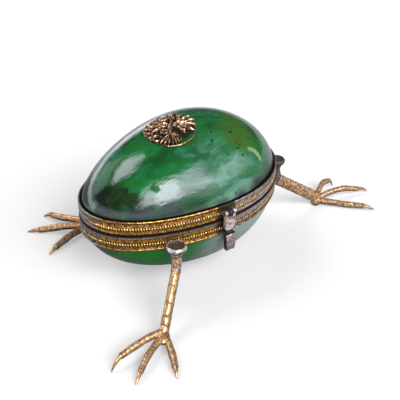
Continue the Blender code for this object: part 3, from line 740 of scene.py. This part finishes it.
def bar(form, start, end, across, width, depth, grime_and_shade=0.2, gilding=0.4):
    """Straight bar with rounded edges between two points."""
    edge = 0.12
    along = (end - start).normalized()
    up = along.cross(across)
    corners = []
    for sx, sy in ((1, 1), (-1, 1), (-1, -1), (1, -1)):
        for turn in (0.0, pi / 4, pi / 2):
            if sx * sy < 0:
                turn = pi / 2 - turn
            corners.append((sx * (width / 2 - edge + edge * cos(turn)),
                            sy * (depth / 2 - edge + edge * sin(turn))))
    rings = []
    for point in (start, end):
        rings.append([(point + across * x + up * y, grime_and_shade, gilding) for x, y in corners])
    form.add_rings(rings)


def knuckle(form, x, side):
    """Hinge knuckle with the arm that ties it to its band."""
    along = Vector((1.0, 0.0, 0.0))
    half = KNUCKLE_LENGTH / 2
    barrel(form, Vector((x, HINGE_Y, 0.0)), along, half, KNUCKLE_RADIUS, PIN_BORE)
    level = side * (BAND_GAP / 2 + CLEARANCE / 2 + KNUCKLE_ARM / 2)
    wall = egg_radius(x) - 0.2
    bar(form, Vector((x, wall, level)), Vector((x, HINGE_Y - PIN_BORE, level)), along,
        KNUCKLE_LENGTH - 0.02, KNUCKLE_ARM)


def clasp_axis():
    """The clasp's frame with its origin on the clasp's axis."""
    return station(CLASP_AZIMUTH) @ Matrix.Translation((0.0, -CLASP_AXIS_OUT, CLASP_AXIS_HEIGHT))


def lid_band():
    form = band(1, LID_BEADS_AT)
    knuckle(form, HINGE_X, 1)
    axis = clasp_axis()
    along = axis.to_3x3() @ Vector((1.0, 0.0, 0.0))
    # the lid's clasp lug and its bar are painted dark, as shade round the hinge
    barrel(form, axis.translation, along, LUG_HALF, CLASP_BARREL, CLASP_BORE, 1.0)
    bar(form, axis @ Vector((0.0, CLASP_BORE, 0.0)), axis @ Vector((0.0, CLASP_AXIS_OUT + 0.2, 0.0)), along,
        2 * LUG_HALF - 0.04, CLASP_BARREL, 0.8, 0.3)
    return form


def bowl_band():
    form = band(-1, BOWL_BEADS_AT)
    pitch = KNUCKLE_LENGTH + CLEARANCE
    knuckle(form, HINGE_X - pitch, -1)
    knuckle(form, HINGE_X + pitch, -1)
    place = station(CLASP_AZIMUTH)
    outward = place.to_3x3() @ Vector((0.0, -1.0, 0.0))
    profile = ((-0.2, 0.7, 0.9, 0.3), (0.5, 0.7, 0.7, 0.3), (1.0, 0.55, 0.5, 0.3), (1.18, 0.3, 0.5, 0.3),
               (1.2, 0.0, 0.5, 0.3))
    form.add_rings(lathe(place @ Vector((0.0, 0.0, -CATCH_DROP)), outward, profile, 24))
    return form


# rows of milled beads

def bead_tree(name, finish):
    """Node tree that threads beads on a mesh line, with named inputs for their number and sizes."""
    tree = bpy.data.node_groups.new(name, "GeometryNodeTree")
    for label, kind in (("Line", "Geometry"), ("Beads", "Int"), ("Half sizes", "Vector"),
                        ("Face", "Vector"), ("Slant", "Float")):
        tree.interface.new_socket(label, in_out="INPUT", socket_type="NodeSocket" + kind)
    tree.interface.new_socket("Beads", in_out="OUTPUT", socket_type="NodeSocketGeometry")

    def node(kind, settings=None, values=None):
        made = tree.nodes.new(kind)
        for key, setting in (settings or {}).items():
            setattr(made, key, setting)
        for socket, value in (values or {}).items():
            if isinstance(value, bpy.types.NodeSocket):
                tree.links.new(value, made.inputs[socket])
            else:
                made.inputs[socket].default_value = value
        return made

    given = node("NodeGroupInput").outputs
    ball = node("GeometryNodeMeshUVSphere", {}, {"Segments": 8, "Rings": 5, "Radius": 1.0})
    # each bead is painted darker towards its foot, as soiling and shade in the groove
    facing = node("ShaderNodeVectorMath", {"operation": "DOT_PRODUCT"},
                  {0: node("GeometryNodeInputPosition").outputs[0], 1: given["Face"]})
    depth = node("ShaderNodeMapRange", {}, {
        "Value": facing.outputs["Value"], "From Min": 0.05, "From Max": 0.75, "To Min": 1.0, "To Max": 0.0})
    marked = node("GeometryNodeStoreNamedAttribute", {"data_type": "FLOAT", "domain": "POINT"},
                  {"Geometry": ball.outputs["Mesh"], "Name": "grime_and_shade", "Value": depth.outputs[0]})
    smooth = node("GeometryNodeSetShadeSmooth", {}, {0: marked.outputs[0]})
    curve = node("GeometryNodeMeshToCurve", {}, {0: given["Line"]})
    spaced = node("GeometryNodeResampleCurve", {"mode": "COUNT"},
                  {"Curve": curve.outputs[0], "Count": given["Beads"]})
    turned = node("FunctionNodeAlignRotationToVector", {"axis": "Y", "pivot_axis": "Z"},
                  {"Vector": node("GeometryNodeInputTangent").outputs[0]})
    slant = node("FunctionNodeAxisAngleToRotation", {}, {"Axis": (1.0, 0.0, 0.0), "Angle": given["Slant"]})
    slanted = node("FunctionNodeRotateRotation", {"rotation_space": "LOCAL"},
                   {0: turned.outputs[0], 1: slant.outputs[0]})
    threaded = node("GeometryNodeInstanceOnPoints", {}, {
        "Points": spaced.outputs[0], "Instance": smooth.outputs[0], "Rotation": slanted.outputs[0],
        "Scale": given["Half sizes"]})
    solid = node("GeometryNodeRealizeInstances", {}, {0: threaded.outputs[0]})
    painted = node("GeometryNodeSetMaterial", {}, {"Geometry": solid.outputs[0], "Material": finish})
    node("NodeGroupOutput", {}, {0: painted.outputs[0]})
    return tree


def bead_row(name, line, gildings, closed, half_sizes, slant, face, finish, body):
    """Row of beads along a line of points, made one plain mesh."""
    mesh = bpy.data.meshes.new(name)
    count = len(line)
    links = [(i, i + 1) for i in range(count - 1)] + ([(count - 1, 0)] if closed else [])
    mesh.from_pydata([CENTRE + point * MM for point in line], links, [])
    attribute = mesh.attributes.new("gilding", "FLOAT", "POINT")
    attribute.data.foreach_set("value", gildings)
    row = bpy.data.objects.new(name, mesh)
    bpy.context.scene.collection.objects.link(row)
    length = sum((line[(i + 1) % count] - line[i]).length for i in range(count if closed else count - 1))
    tree = bead_tree(name, finish)
    settings = {"Beads": round(length / BEAD_PITCH), "Half sizes": tuple(size * MM for size in half_sizes),
                "Face": face, "Slant": radians(slant)}
    modifier = row.modifiers.new("beads", "NODES")
    modifier.node_group = tree
    for item in tree.interface.items_tree:
        if item.in_out == "INPUT" and item.name in settings:
            modifier[item.identifier] = settings[item.name]
    evaluated = row.evaluated_get(bpy.context.evaluated_depsgraph_get())
    row.data = bpy.data.meshes.new_from_object(evaluated)
    row.modifiers.remove(modifier)
    row.data.name = name
    settle(row, body)


def band_beads(name, side, beads_at, body):
    """Milled beads that run round a band in its groove."""
    steps = 480
    turns = [tau * i / steps for i in range(steps)]
    line = [outline_at(theta, 0.0, side * beads_at * height_left(theta, side)) for theta in turns]
    gildings = [max(gilding_left(theta), 0.8 * ease(-14.0, -6.0, outline(theta).x)) for theta in turns]
    bead_row(name, line, gildings, True, BEAD_SIZE, BEAD_SLANT, (1.0, 0.0, 0.0), BEAD_GILT, body)


# the clasp

def slab_ring(half, back, front, dish):
    """Ring of a flat bar with rounded edges and a dished front: across and inwards."""
    ring = []
    edge = min(0.22, half * 0.3)
    for i in range(9):
        x = half - edge - (2 * half - 2 * edge) * i / 8
        sink = dish * (1.0 - (x / (half - edge)) ** 4)
        ring.append((x, front + sink, sink / max(dish, 0.01)))
    corners = [(half - edge * 0.3, front + edge * 0.3, 0.0), (half, front + edge, 0.1),
               (half, back - 0.12, 0.4), (half - 0.12, back, 0.5)]
    return ring + [(-x, y, sunk) for x, y, sunk in corners] + corners[::-1]


def clasp_tongue():
    """Strap with raised edges that narrows to a waist, and a tapering thumb piece below it."""
    place = station(CLASP_AZIMUTH)
    axis = clasp_axis()
    along = axis.to_3x3() @ Vector((1.0, 0.0, 0.0))
    form = Form()
    middle = (LUG_HALF + CLEARANCE + TONGUE_HALF) / 2
    half = (TONGUE_HALF - LUG_HALF - CLEARANCE) / 2
    depth = (TONGUE_BACK + TONGUE_FRONT) / 2
    for side in (-1, 1):
        barrel(form, axis @ Vector((side * middle, 0.0, 0.0)), along, half, CLASP_BARREL, CLASP_BORE)
        foot = place @ Vector((side * middle, depth, 1.5))
        head = place @ Vector((side * middle, depth, CLASP_AXIS_HEIGHT - CLASP_BORE))
        bar(form, foot, head, along, 2 * half - 0.04, 0.78, 0.15, 0.3)
    strap = through(((2.15, 2.22, 0.10), (1.6, 2.22, 0.34), (0.2, 2.22, 0.44), (-1.3, 2.12, 0.36),
                     (-2.4, 1.74, 0.22), (-3.2, 1.18, 0.08), (-4.4, 1.08, 0.05)), 5)
    rings = []
    for z, half, dish in strap:
        swollen = TONGUE_FRONT - 0.12 * sin(pi * ease(-4.4, 2.2, z))
        # the strap's dish is painted dark as shade near the barrels, and the waist below is painted dark as
        # shade
        dark = max(ease(1.2, 2.3, z), ease(-2.7, -3.4, z))
        rings.append([(place @ Vector((x, y, z)), max(0.1 + sunk * dark, 0.9 * ease(-2.7, -3.6, z)), 0.2)
                      for x, y, sunk in slab_ring(half, TONGUE_BACK, swollen, dish)])
    form.add_rings(rings)
    # the thumb's fourth column darkens its top by the waist, as painted shade, and its edge at negative x is
    # painted dark, as its shaded side face
    thumb = through(((-4.20, 1.80, -2.75, 0.9), (-4.30, 2.02, -3.16, 0.3), (-4.7, 2.06, -3.28, 0.1),
                     (-6.5, 1.92, -3.30, 0.1), (-9.4, 1.62, -3.14, 0.1), (-10.15, 1.52, -2.95, 0.1),
                     (-10.40, 1.30, -2.55, 0.3)), 4)
    rings = []
    for z, half, front, grime_and_shade in thumb:
        rings.append([(place @ Vector((x, y, z)), grime_and_shade + 0.1 * sunk + 0.8 * (x < -half + 0.05), 0.45)
                      for x, y, sunk in slab_ring(half, TONGUE_BACK - 0.02, front, 0.10)])
    form.add_rings(rings)
    return form


# the emblem

def on_emblem(u, v):
    """Plan point of the emblem's own coordinates, as shares of its radius, v towards its top."""
    top = radians(EMBLEM_TURN)
    x = EMBLEM_CENTRE[0] + EMBLEM_RADIUS * (u * sin(top) + v * cos(top))
    y = EMBLEM_CENTRE[1] + EMBLEM_RADIUS * (v * sin(top) - u * cos(top))
    return x, y


def ribbon(form, stops, relief, base=0.2, steps=5, sides=10, loop=False, keel=0.35):
    """Rounded strip over the dome through stops of across, up and width, in shares of the radius."""
    run = through(stops, steps)
    if loop:
        run = run[:-1]
    last = len(run) - 1
    rings = []
    for i, (u, v, width) in enumerate(run):
        before = run[(i - 1) % len(run)] if loop else run[max(i - 1, 0)]
        after = run[(i + 1) % len(run)] if loop else run[min(i + 1, last)]
        length = hypot(after[0] - before[0], after[1] - before[1])
        side_u, side_v = -(after[1] - before[1]) / length, (after[0] - before[0]) / length
        ring = []
        taper = 1.0 if loop else min(1.0, 0.45 + 1.6 * min(i, last - i) / last)
        for k in range(sides + 1):
            share = 2.0 * k / sides - 1.0
            round_off = sqrt(max(1.0 - share * share, 0.0))
            ridge = round_off * (1.0 - keel) + (1.0 - abs(share)) * keel
            x, y = on_emblem(u + side_u * share * width / 2, v + side_v * share * width / 2)
            # away from its ridge, and on its underside, the strip is painted dark, as shade with soiling
            ring.append((dome_point(x, y, base + relief * ridge * taper), 1.08 - ridge ** 1.9, 1.0))
        for k in (sides - 2, sides // 2, 2):
            share = 2.0 * k / sides - 1.0
            x, y = on_emblem(u + side_u * share * width / 2, v + side_v * share * width / 2)
            ring.append((dome_point(x, y, base - 0.12), 1.0, 1.0))
        rings.append(ring)
    form.add_rings(rings, loop)


def feather(form, root, turn, length, width, relief, bend=0.0):
    """Feather from a root, towards a turn in degrees from the emblem's top."""
    stops = []
    for share, girth in ((0.0, 0.45), (0.3, 0.8), (0.65, 1.0), (0.88, 0.85), (1.0, 0.25)):
        heading = radians(turn + bend * share)
        stops.append((root[0] + sin(heading) * length * share, root[1] + cos(heading) * length * share,
                      width * girth))
    ribbon(form, stops, relief, steps=3, sides=8)


def scroll(form, middle, start, turns, outer, inner, width, relief):
    """Spiral of a given number of turns round a middle."""
    stops = []
    count = 14
    for i in range(count):
        share = i / (count - 1)
        turn = radians(start) + tau * turns * share
        reach = outer + (inner - outer) * share
        stops.append((middle[0] + sin(turn) * reach, middle[1] + cos(turn) * reach,
                      width * (1.0 - 0.35 * share)))
    ribbon(form, stops, relief, steps=3, sides=8)


def emblem():
    """Openwork round ornament: a bird with spread wings and a fanned tail, leaves and scrolls."""
    form = Form()
    for first, last, reach, width, relief in ((40.0, 178.0, 0.955, 0.070, 0.75),
                                              (176.0, 402.0, 0.92, 0.045, 0.35)):
        rim = []
        for i in range(24):
            turn = radians(first + (last - first) * i / 23)
            rim.append((reach * sin(turn), reach * cos(turn), width))
        ribbon(form, rim, relief, steps=3, sides=8)
    ribbon(form, ((0.04, -0.34, 0.10), (0.02, -0.14, 0.22), (0.0, 0.06, 0.25), (-0.02, 0.24, 0.18)), 1.3)
    ribbon(form, ((-0.02, 0.18, 0.18), (0.0, 0.36, 0.14), (-0.05, 0.50, 0.15), (-0.15, 0.55, 0.15),
                  (-0.25, 0.51, 0.10), (-0.33, 0.44, 0.03)), 1.25)
    for turn in (-40.0, -21.0, -3.0, 15.0, 33.0, 51.0):
        heading = radians(turn)
        feather(form, (0.62 * sin(heading), 0.62 * cos(heading)), turn, 0.44, 0.17, 1.15, 12.0)
        feather(form, (0.60 * sin(heading), 0.60 * cos(heading)), turn + 55.0, 0.16, 0.12, 0.8)
    for side in (-1, 1):
        for turn, length, width in ((66, 0.84, 0.20), (90, 0.84, 0.19), (116, 0.64, 0.17)):
            feather(form, (side * 0.08, 0.14), side * turn, length, width, 0.95, side * 9.0)
        for turn, length in ((56, 0.44), (80, 0.48), (104, 0.36)):
            feather(form, (side * 0.10, 0.20), side * turn, length, 0.13, 1.25, side * -8.0)
        feather(form, (side * 0.52, 0.22), side * 60.0, 0.34, 0.12, 1.0)
    for i in range(7):
        feather(form, (0.12, -0.24), 131.0 + 13.0 * i, 0.54 + 0.03 * i, 0.115, 0.95 + 0.08 * (i % 2))
    for turn in (226.0, 245.0, 264.0, 282.0):
        heading = radians(turn)
        feather(form, (0.66 * sin(heading), 0.66 * cos(heading)), turn, 0.34, 0.17, 0.85, 14.0)
    scroll(form, (-0.38, -0.68), 60.0, -0.9, 0.19, 0.10, 0.11, 0.95)
    scroll(form, (-0.20, -0.30), 0.0, 1.2, 0.17, 0.05, 0.09, 1.05)
    scroll(form, (-0.50, -0.36), 120.0, 1.1, 0.16, 0.05, 0.09, 0.9)
    feather(form, (0.34, -0.06), 100.0, 0.26, 0.10, 0.9)
    return form


def emblem_beads():
    """Small beads along the upper left edge of the emblem."""
    line = []
    for i in range(60):
        turn = radians(-118.0 + 112.0 * i / 59)
        line.append(dome_point(*on_emblem(0.985 * sin(turn), 0.985 * cos(turn)), 0.5))
    bead_row("emblem_beads", line, [1.0] * len(line), False, EMBLEM_BEAD_SIZE, 0.0, (0.0, 0.0, 1.0),
             ROSE_GOLD, "lid")


# the legs

def leg_disc(form, centre, soiled_and_shaded):
    """Hollowed round cap with a bright rim, which narrows to the thigh as a funnel."""
    rim = DISC_RADIUS
    end = -DISC_RIM - FUNNEL_LENGTH
    profile = (
        (-0.75, 0.0, 0.6, 0.5), (-0.75, 1.3, 0.7, 0.7), (-0.62, rim - 1.1, 0.7, 0.9),
        (-0.3, rim - 0.85, 0.8, 0.6),
        (-0.04, rim - 0.66, 0.5, 0.3), (0.0, rim - 0.54, 0.3, 0.2), (-0.06, rim - 0.42, -0.3, 0.0),
        (-0.55, rim - 0.03, -0.5, -0.3), (-0.72, rim, -0.3, -0.3), (-1.2, rim - 0.03, 0.2, 0.0),
        (-DISC_RIM, rim - 0.42, 0.6, 0.1),
        (-DISC_RIM - 0.1, rim - 0.6, 0.9, 0.4), (-DISC_RIM - 0.4, rim - 0.85, 0.3, 0.2),
        (-DISC_RIM - 1.0, 2.05, 0.1, 0.2), (-DISC_RIM - 1.6, 1.78, 0.3, 0.5), (end, THIGH_RADIUS, 0.5, 0.6),
        (end, 0.0, 0.5, 0.6),
    )
    # the hollow and the underside of the rim are painted dark, as shade with soiling; the leg's soiling and
    # painted shade level darkens the whole disc
    worn = [(z, radius, grime_and_shade + 4.5 * max(soiled_and_shaded, 0.0), gilding) for z, radius, grime_and_shade, gilding in profile]
    form.add_rings(lathe(centre, UP, worn, 48))


def leg_path(reach):
    """Run of the shaft in the plane of its lean: distance out, height, half width and half depth."""
    funnel_end = -DISC_RIM - FUNNEL_LENGTH
    knee = funnel_end - THIGH_LENGTH
    ankle = ANKLE_HEIGHT - SPLIT_HEIGHT + DISC_DROP
    thigh = THIGH_RADIUS
    stops = [(0.0, funnel_end + 0.9, thigh, thigh), (0.05, funnel_end - 0.8, thigh, thigh * 1.05),
             (0.25, (funnel_end + knee) / 2, thigh * 0.98, thigh * 1.12),
             (0.8, knee + 0.7, thigh * 0.94, thigh * 1.2)]
    for i in range(9):
        s = i / 8
        girth = SHANK_RADIUS * (1.06 - 0.08 * sin(pi * s))
        stops.append((KNEE_OUT + (reach - KNEE_OUT) * s, knee + (ankle - knee) * s, girth,
                      girth * (SHANK_DEPTH - 0.06 + 0.1 * sin(pi * s))))
    return stops


def leg_shaft(form, disc, heading, reach, soiled_and_shaded):
    """Thigh, knee and shank, with a run of scutes down the shank's front."""
    across = Vector((-heading.y, heading.x, 0.0))
    run = through(leg_path(reach), 9)
    points = [disc + heading * out + UP * z for out, z, _, _ in run]
    first = 4 * 9

    def ring_at(i):
        _, _, width, depth = run[i]
        s = (i - first) / (len(run) - 1 - first)
        step = 0.0
        line = 0.0
        if s > 0.0:
            ahead = [mark for mark in SCUTE_LINES if mark > s] + [1.05]
            behind = [0.0] + [mark for mark in SCUTE_LINES if mark <= s]
            span = ahead[0] - behind[-1]
            share = (s - behind[-1]) / span
            step = SCUTE_RELIEF * (1.0 - share) * (0.4 + 0.6 * ease(0.0, 0.12, share))
            line = max(exp(-((s - mark) / 0.011) ** 2) for mark in SCUTE_LINES)
        ring = []
        for k in range(28):
            turn = tau * k / 28
            front = max(sin(turn), 0.0)
            bump = (step - 0.12 * line) * min(front * 1.6, 1.0) + 0.07 * sin(s * 17.0 + 1.5) * cos(s * 41.0)
            side = 1.0 - abs(sin(turn))
            # dark scute lines, painted shade on the back and the sides of the leg, and the leg's soiling and
            # painted shade level; the thigh is darker still
            grime_and_shade = max(line * (0.45 + 0.45 * sin(turn * 2.0 + s * 40.0)) * min(front * 1.8, 1.0),
                        0.45 * ease(0.2, -0.6, sin(turn)), 0.22 * side, soiled_and_shaded + (0.25 if s < 0.0 else 0.0))
            gold = (1.05 if s > 0.0 else 0.62) * (1.0 - 0.25 * side)
            ring.append((cos(turn) * (width + bump), sin(turn) * (depth + bump), grime_and_shade, gold))
        return ring

    form.add_rings(sweep(points, across, ring_at))


def leg_hub(form, hub):
    """Ball of the foot with a flat sole."""
    profile = [(z, radius, grime_and_shade, 1.0) for z, radius, grime_and_shade in (
        (0.0, 0.0, 0.6), (0.0, 1.2, 0.6), (0.15, 1.45, 0.6), (0.7, 1.78, 0.5), (1.4, 1.9, 0.4),
        (2.2, 1.86, 0.3), (2.9, 1.6, 0.2), (3.4, 1.1, 0.2), (3.6, 0.0, 0.2))]
    form.add_rings(lathe(hub, UP, profile, 32))


def leg_web(form, hub, plan):
    """Rounded web between the roots of the middle and the right toe."""
    turn = radians(plan.lean + (plan.toes[1].turn + plan.toes[2].turn) / 2)
    heading = Vector((cos(turn), sin(turn), 0.0))
    profile = ((-1.4, 0.0, 0.7, 0.9), (-1.2, 1.2, 0.6, 0.9), (-0.5, 1.85, 0.5, 0.9), (0.3, 1.9, 0.25, 0.9),
               (0.9, 1.45, 0.2, 0.9), (1.3, 0.6, 0.3, 0.9), (1.35, 0.0, 0.3, 0.9))
    form.add_rings(lathe(hub + heading * 2.7 + UP * 2.9, UP, profile, 28))


def toe_height(toe, s):
    """Height of a toe's middle at a share of its length: arched over the joints, then hooked in the claw."""
    end = TOE_JOINTS[-1]
    if s > end:
        share = (s - end) / (1.0 - end)
        return toe.heights[-1] + (toe.heights[-2] - toe.heights[-1]) * (1.0 - share * share)
    gap = next(i for i in range(len(TOE_JOINTS) - 1) if s <= TOE_JOINTS[i + 1])
    share = (s - TOE_JOINTS[gap]) / (TOE_JOINTS[gap + 1] - TOE_JOINTS[gap])
    knots = [toe.heights[0]] + list(toe.heights[:-1]) + [toe.heights[-2]]
    return through([(height,) for height in knots[gap:gap + 4]], 16)[16 + round(share * 16)][0]


def leg_toe(form, hub, heading, toe, soiled_and_shaded):
    """Jointed toe with scutes on its top, which ends in a pale claw."""
    flesh = TOE_JOINTS[-1]
    girths = []
    for i in range(len(TOE_JOINTS) - 1):
        girths.append((TOE_JOINTS[i], TOE_GIRTHS[i]))
        between = (TOE_JOINTS[i] + TOE_JOINTS[i + 1]) / 2
        girths.append((between, (TOE_GIRTHS[i] + TOE_GIRTHS[i + 1]) / 2 * 0.94))
    girths += [(flesh, TOE_GIRTHS[-1]), (flesh + 0.015, 0.68), (flesh + 0.07, 0.60), (flesh + 0.14, 0.42),
               (1.0, CLAW_RADIUS / TOE_RADIUS)]
    run = through(girths, 10)
    side = Vector((-heading.y, heading.x, 0.0))
    length = TOE_LENGTH * toe.length
    points = []
    for s, _ in run:
        out = heading * (length * s) + side * (length * toe.bow * sin(pi * s))
        points.append(hub + out + UP * (toe_height(toe, max(s, 0.0)) * TOE_RADIUS))
    scutes = 11

    def ring_at(i):
        s, girth = run[i]
        radius = TOE_RADIUS * toe.girth * girth
        claw = ease(flesh - 0.005, flesh + 0.015, s)
        share = (s / flesh * scutes) % 1.0
        tick = exp(-((min(share, 1.0 - share)) / 0.16) ** 2) * (1.0 - claw) * ease(0.25, 0.5, s)
        cuff = exp(-((s - flesh) / 0.012) ** 2)
        ring = []
        for k in range(18):
            turn = tau * k / 18
            top = min(max(sin(turn), 0.0) * 1.7, 1.0)
            bump = (0.04 * (1.0 - share) * (1.0 - claw) - 0.04 * tick) * top
            # painted shade under the toe
            under = ease(0.4, -0.5, sin(turn)) * (1.0 - claw)
            grime_and_shade = max(tick * top * 0.5, 0.6 * under, cuff * 0.7, soiled_and_shaded)
            ring.append((cos(turn) * (radius + bump), sin(turn) * (radius * TOE_DEPTH + bump), grime_and_shade,
                         1.1 - 0.3 * claw))
        return ring

    form.add_rings(sweep(points, side, ring_at))


def leg(name):
    """Cast leg: disc, arm to the band, shaft, foot and three clawed toes."""
    plan = LEGS[name]
    place = station(plan.seat)
    disc = place @ Vector((0.0, -DISC_STANDOFF, -DISC_DROP))
    heading = Vector((cos(radians(plan.lean)), sin(radians(plan.lean)), 0.0))
    reach = LEG_REACH * plan.reach
    hub = disc + heading * reach
    hub.z = -SPLIT_HEIGHT
    form = Form()
    soiled_and_shaded = SOILING_AND_SHADE[name]
    leg_disc(form, disc, soiled_and_shaded)
    along = place.to_3x3() @ Vector((1.0, 0.0, 0.0))
    level = -DISC_DROP - 1.55
    bar(form, place @ Vector((0.0, -DISC_STANDOFF + 1.5, level)),
        place @ Vector((0.0, -LIP_PROUD - 0.25, level)), along, 2.3, 1.5, 0.4, 0.2)
    leg_shaft(form, disc, heading, reach, soiled_and_shaded)
    leg_hub(form, hub)
    if name == "leg_front":
        leg_web(form, hub, plan)
        soiled_and_shaded += 0.14
    for toe in plan.toes:
        turn = radians(plan.lean + toe.turn)
        leg_toe(form, hub, Vector((cos(turn), sin(turn), 0.0)), toe, soiled_and_shaded)
    return form


# the finished pieces

stone_shell(1).piece("lid_shell", "lid", "stone", HARDSTONE, ["lid_stone"])
stone_shell(-1).piece("bowl_shell", "base", "stone", HARDSTONE, ["bowl_stone"])
lid_band().piece("lid_edge", "lid", "gilt", GILT, ["lid_band"])
bowl_band().piece("bowl_edge", "base", "gilt", GILT, ["bowl_band"])
band_beads("lid_beads", 1, LID_BEADS_AT, "lid")
band_beads("bowl_beads", -1, BOWL_BEADS_AT, "base")
clasp_tongue().piece("clasp_strap", "clasp", "silver", WORN_SILVER, ["clasp_tongue"])
emblem().piece("lid_emblem", "lid", "rose_gold", ROSE_GOLD, ["emblem"])
emblem_beads()
for name in LEGS:
    leg(name).piece("cast_" + name, "base", "leg_gilt", LEG_GILT, [name])
for name in ("hinge_pin", "clasp_pin"):
    node = frame["nodes"][name]
    for slot in node.material_slots:
        slot.material = WORN_SILVER


# the table, the light and the camera

CAMERA_AZIMUTH = -41.4
CAMERA_ELEVATION = 29.6
CAMERA_DISTANCE = 0.2678
CAMERA_ROLL = -0.0079
LENS = 71.285
SHIFT = (0.0484, -0.0333)

# brightness of the room and of its panels; directions and sizes in degrees
ROOM_RADIANCE = 0.14
Panel = namedtuple("Panel", "azimuth half_width elevation half_height edge radiance")
PANELS = (
    Panel(-112.0, 13.5, 39.5, 12.0, 11.0, 10.0), Panel(-91.0, 17.0, 37.0, 12.0, 12.0, 7.0),
    Panel(-58.0, 20.0, 22.0, 8.0, 14.0, 2.2), Panel(118.0, 19.0, 59.0, 7.0, 12.0, 8.0),
    Panel(109.0, 17.0, 28.0, 11.0, 6.0, 1.5), Panel(100.0, 40.0, 0.0, 9.0, 8.0, 3.2),
    Panel(-158.0, 62.0, 10.0, 5.0, 8.0, 1.8),
)


def table():
    """Sheet of white paper that glows. The camera sees it brighter than the box does, and the box sees it
    painted grey near its narrow end, as shade, and glowing far to the front, as painted light."""
    bm = bmesh.new()
    bmesh.ops.create_grid(bm, x_segments=8, y_segments=8, size=1.6)
    mesh = bpy.data.meshes.new("table")
    bm.to_mesh(mesh)
    bm.free()
    paper = Finish("white_paper", {"Roughness": 0.9, "Specular IOR Level": 0.1, "Emission Strength": 1.0})
    place = paper.place()
    behind = paper.node("VectorMath", {"operation": "DOT_PRODUCT"},
                        {0: place, 1: (0.77, 0.64, 0.0)}, output=1)
    far = paper.node("VectorMath", {"operation": "LENGTH"}, {0: place}, output=1).eased(60.0, 140.0)
    seen = paper.node("LightPath")
    white = paper.mix((0.52, 0.52, 0.46), (0.54, 0.54, 0.478), paper.noise(0.4, 3.0, 0.6))
    blunt_side = paper.node("SeparateXYZ", {}, {0: place}).eased(-15.0, 45.0)
    # for the box only, painted shade: the table is grey near the egg's narrow end
    grey = paper.mix((0.15, 0.15, 0.15), (0.48, 0.48, 0.48), blunt_side)
    # camera rays see an even glow; for the box the table glows far to the front, as painted light
    glow = seen * 0.265 + (1.0 - seen) * far * behind.eased(60.0, 15.0) * 0.9
    paper.set({"Base Color": paper.mix(grey, white, seen),
               "Emission Color": paper.mix((0.0, 0.0, 0.0), (1.0, 1.0, 1.0), glow)})
    mesh.materials.append(paper.material)
    thing = bpy.data.objects.new("table", mesh)
    bpy.context.scene.collection.objects.link(thing)


def room():
    """Dim room with soft bright panels round the egg."""
    world = bpy.data.worlds.new("room")
    bpy.context.scene.world = world
    world.use_nodes = True
    air = Tree(world.node_tree)
    towards = air.node("TexCoord")
    x, y, z = (air.node("SeparateXYZ", {}, {0: towards}, output=i) for i in range(3))
    azimuth = air.node("Math", {"operation": "ARCTAN2"}, {0: y, 1: x}) * (360.0 / tau)
    elevation = air.node("Math", {"operation": "ARCSINE"}, {0: z}) * (360.0 / tau)
    light = ROOM_RADIANCE
    for panel in PANELS:
        aside = (azimuth - panel.azimuth).maths("WRAP", azimuth - panel.azimuth, 180.0, -180.0).size()
        over = (elevation - panel.elevation).size()
        patch = aside.eased(panel.half_width + panel.edge, panel.half_width)
        patch = patch * over.eased(panel.half_height + panel.edge * 0.6, panel.half_height)
        light = patch * panel.radiance + light
    background = world.node_tree.nodes["Background"]
    air.feed(background.inputs["Strength"], light)
    air.feed(background.inputs["Color"], (0.88, 0.87, 1.0))


def camera():
    a, e = radians(CAMERA_AZIMUTH), radians(CAMERA_ELEVATION)
    back = Vector((sin(a) * cos(e), -cos(a) * cos(e), sin(e)))
    lens = bpy.data.cameras.new("photo_camera")
    lens.lens = LENS
    lens.sensor_width = 36.0
    lens.shift_x, lens.shift_y = SHIFT
    lens.clip_start = 0.01
    thing = bpy.data.objects.new("photo_camera", lens)
    thing.location = CENTRE + back * CAMERA_DISTANCE
    look = back.to_track_quat("Z", "Y").to_matrix() @ Matrix.Rotation(CAMERA_ROLL, 3, "Z")
    thing.rotation_euler = look.to_euler()
    bpy.context.scene.collection.objects.link(thing)
    bpy.context.scene.camera = thing


table()
room()
camera()
bpy.context.scene.view_settings.view_transform = "Standard"
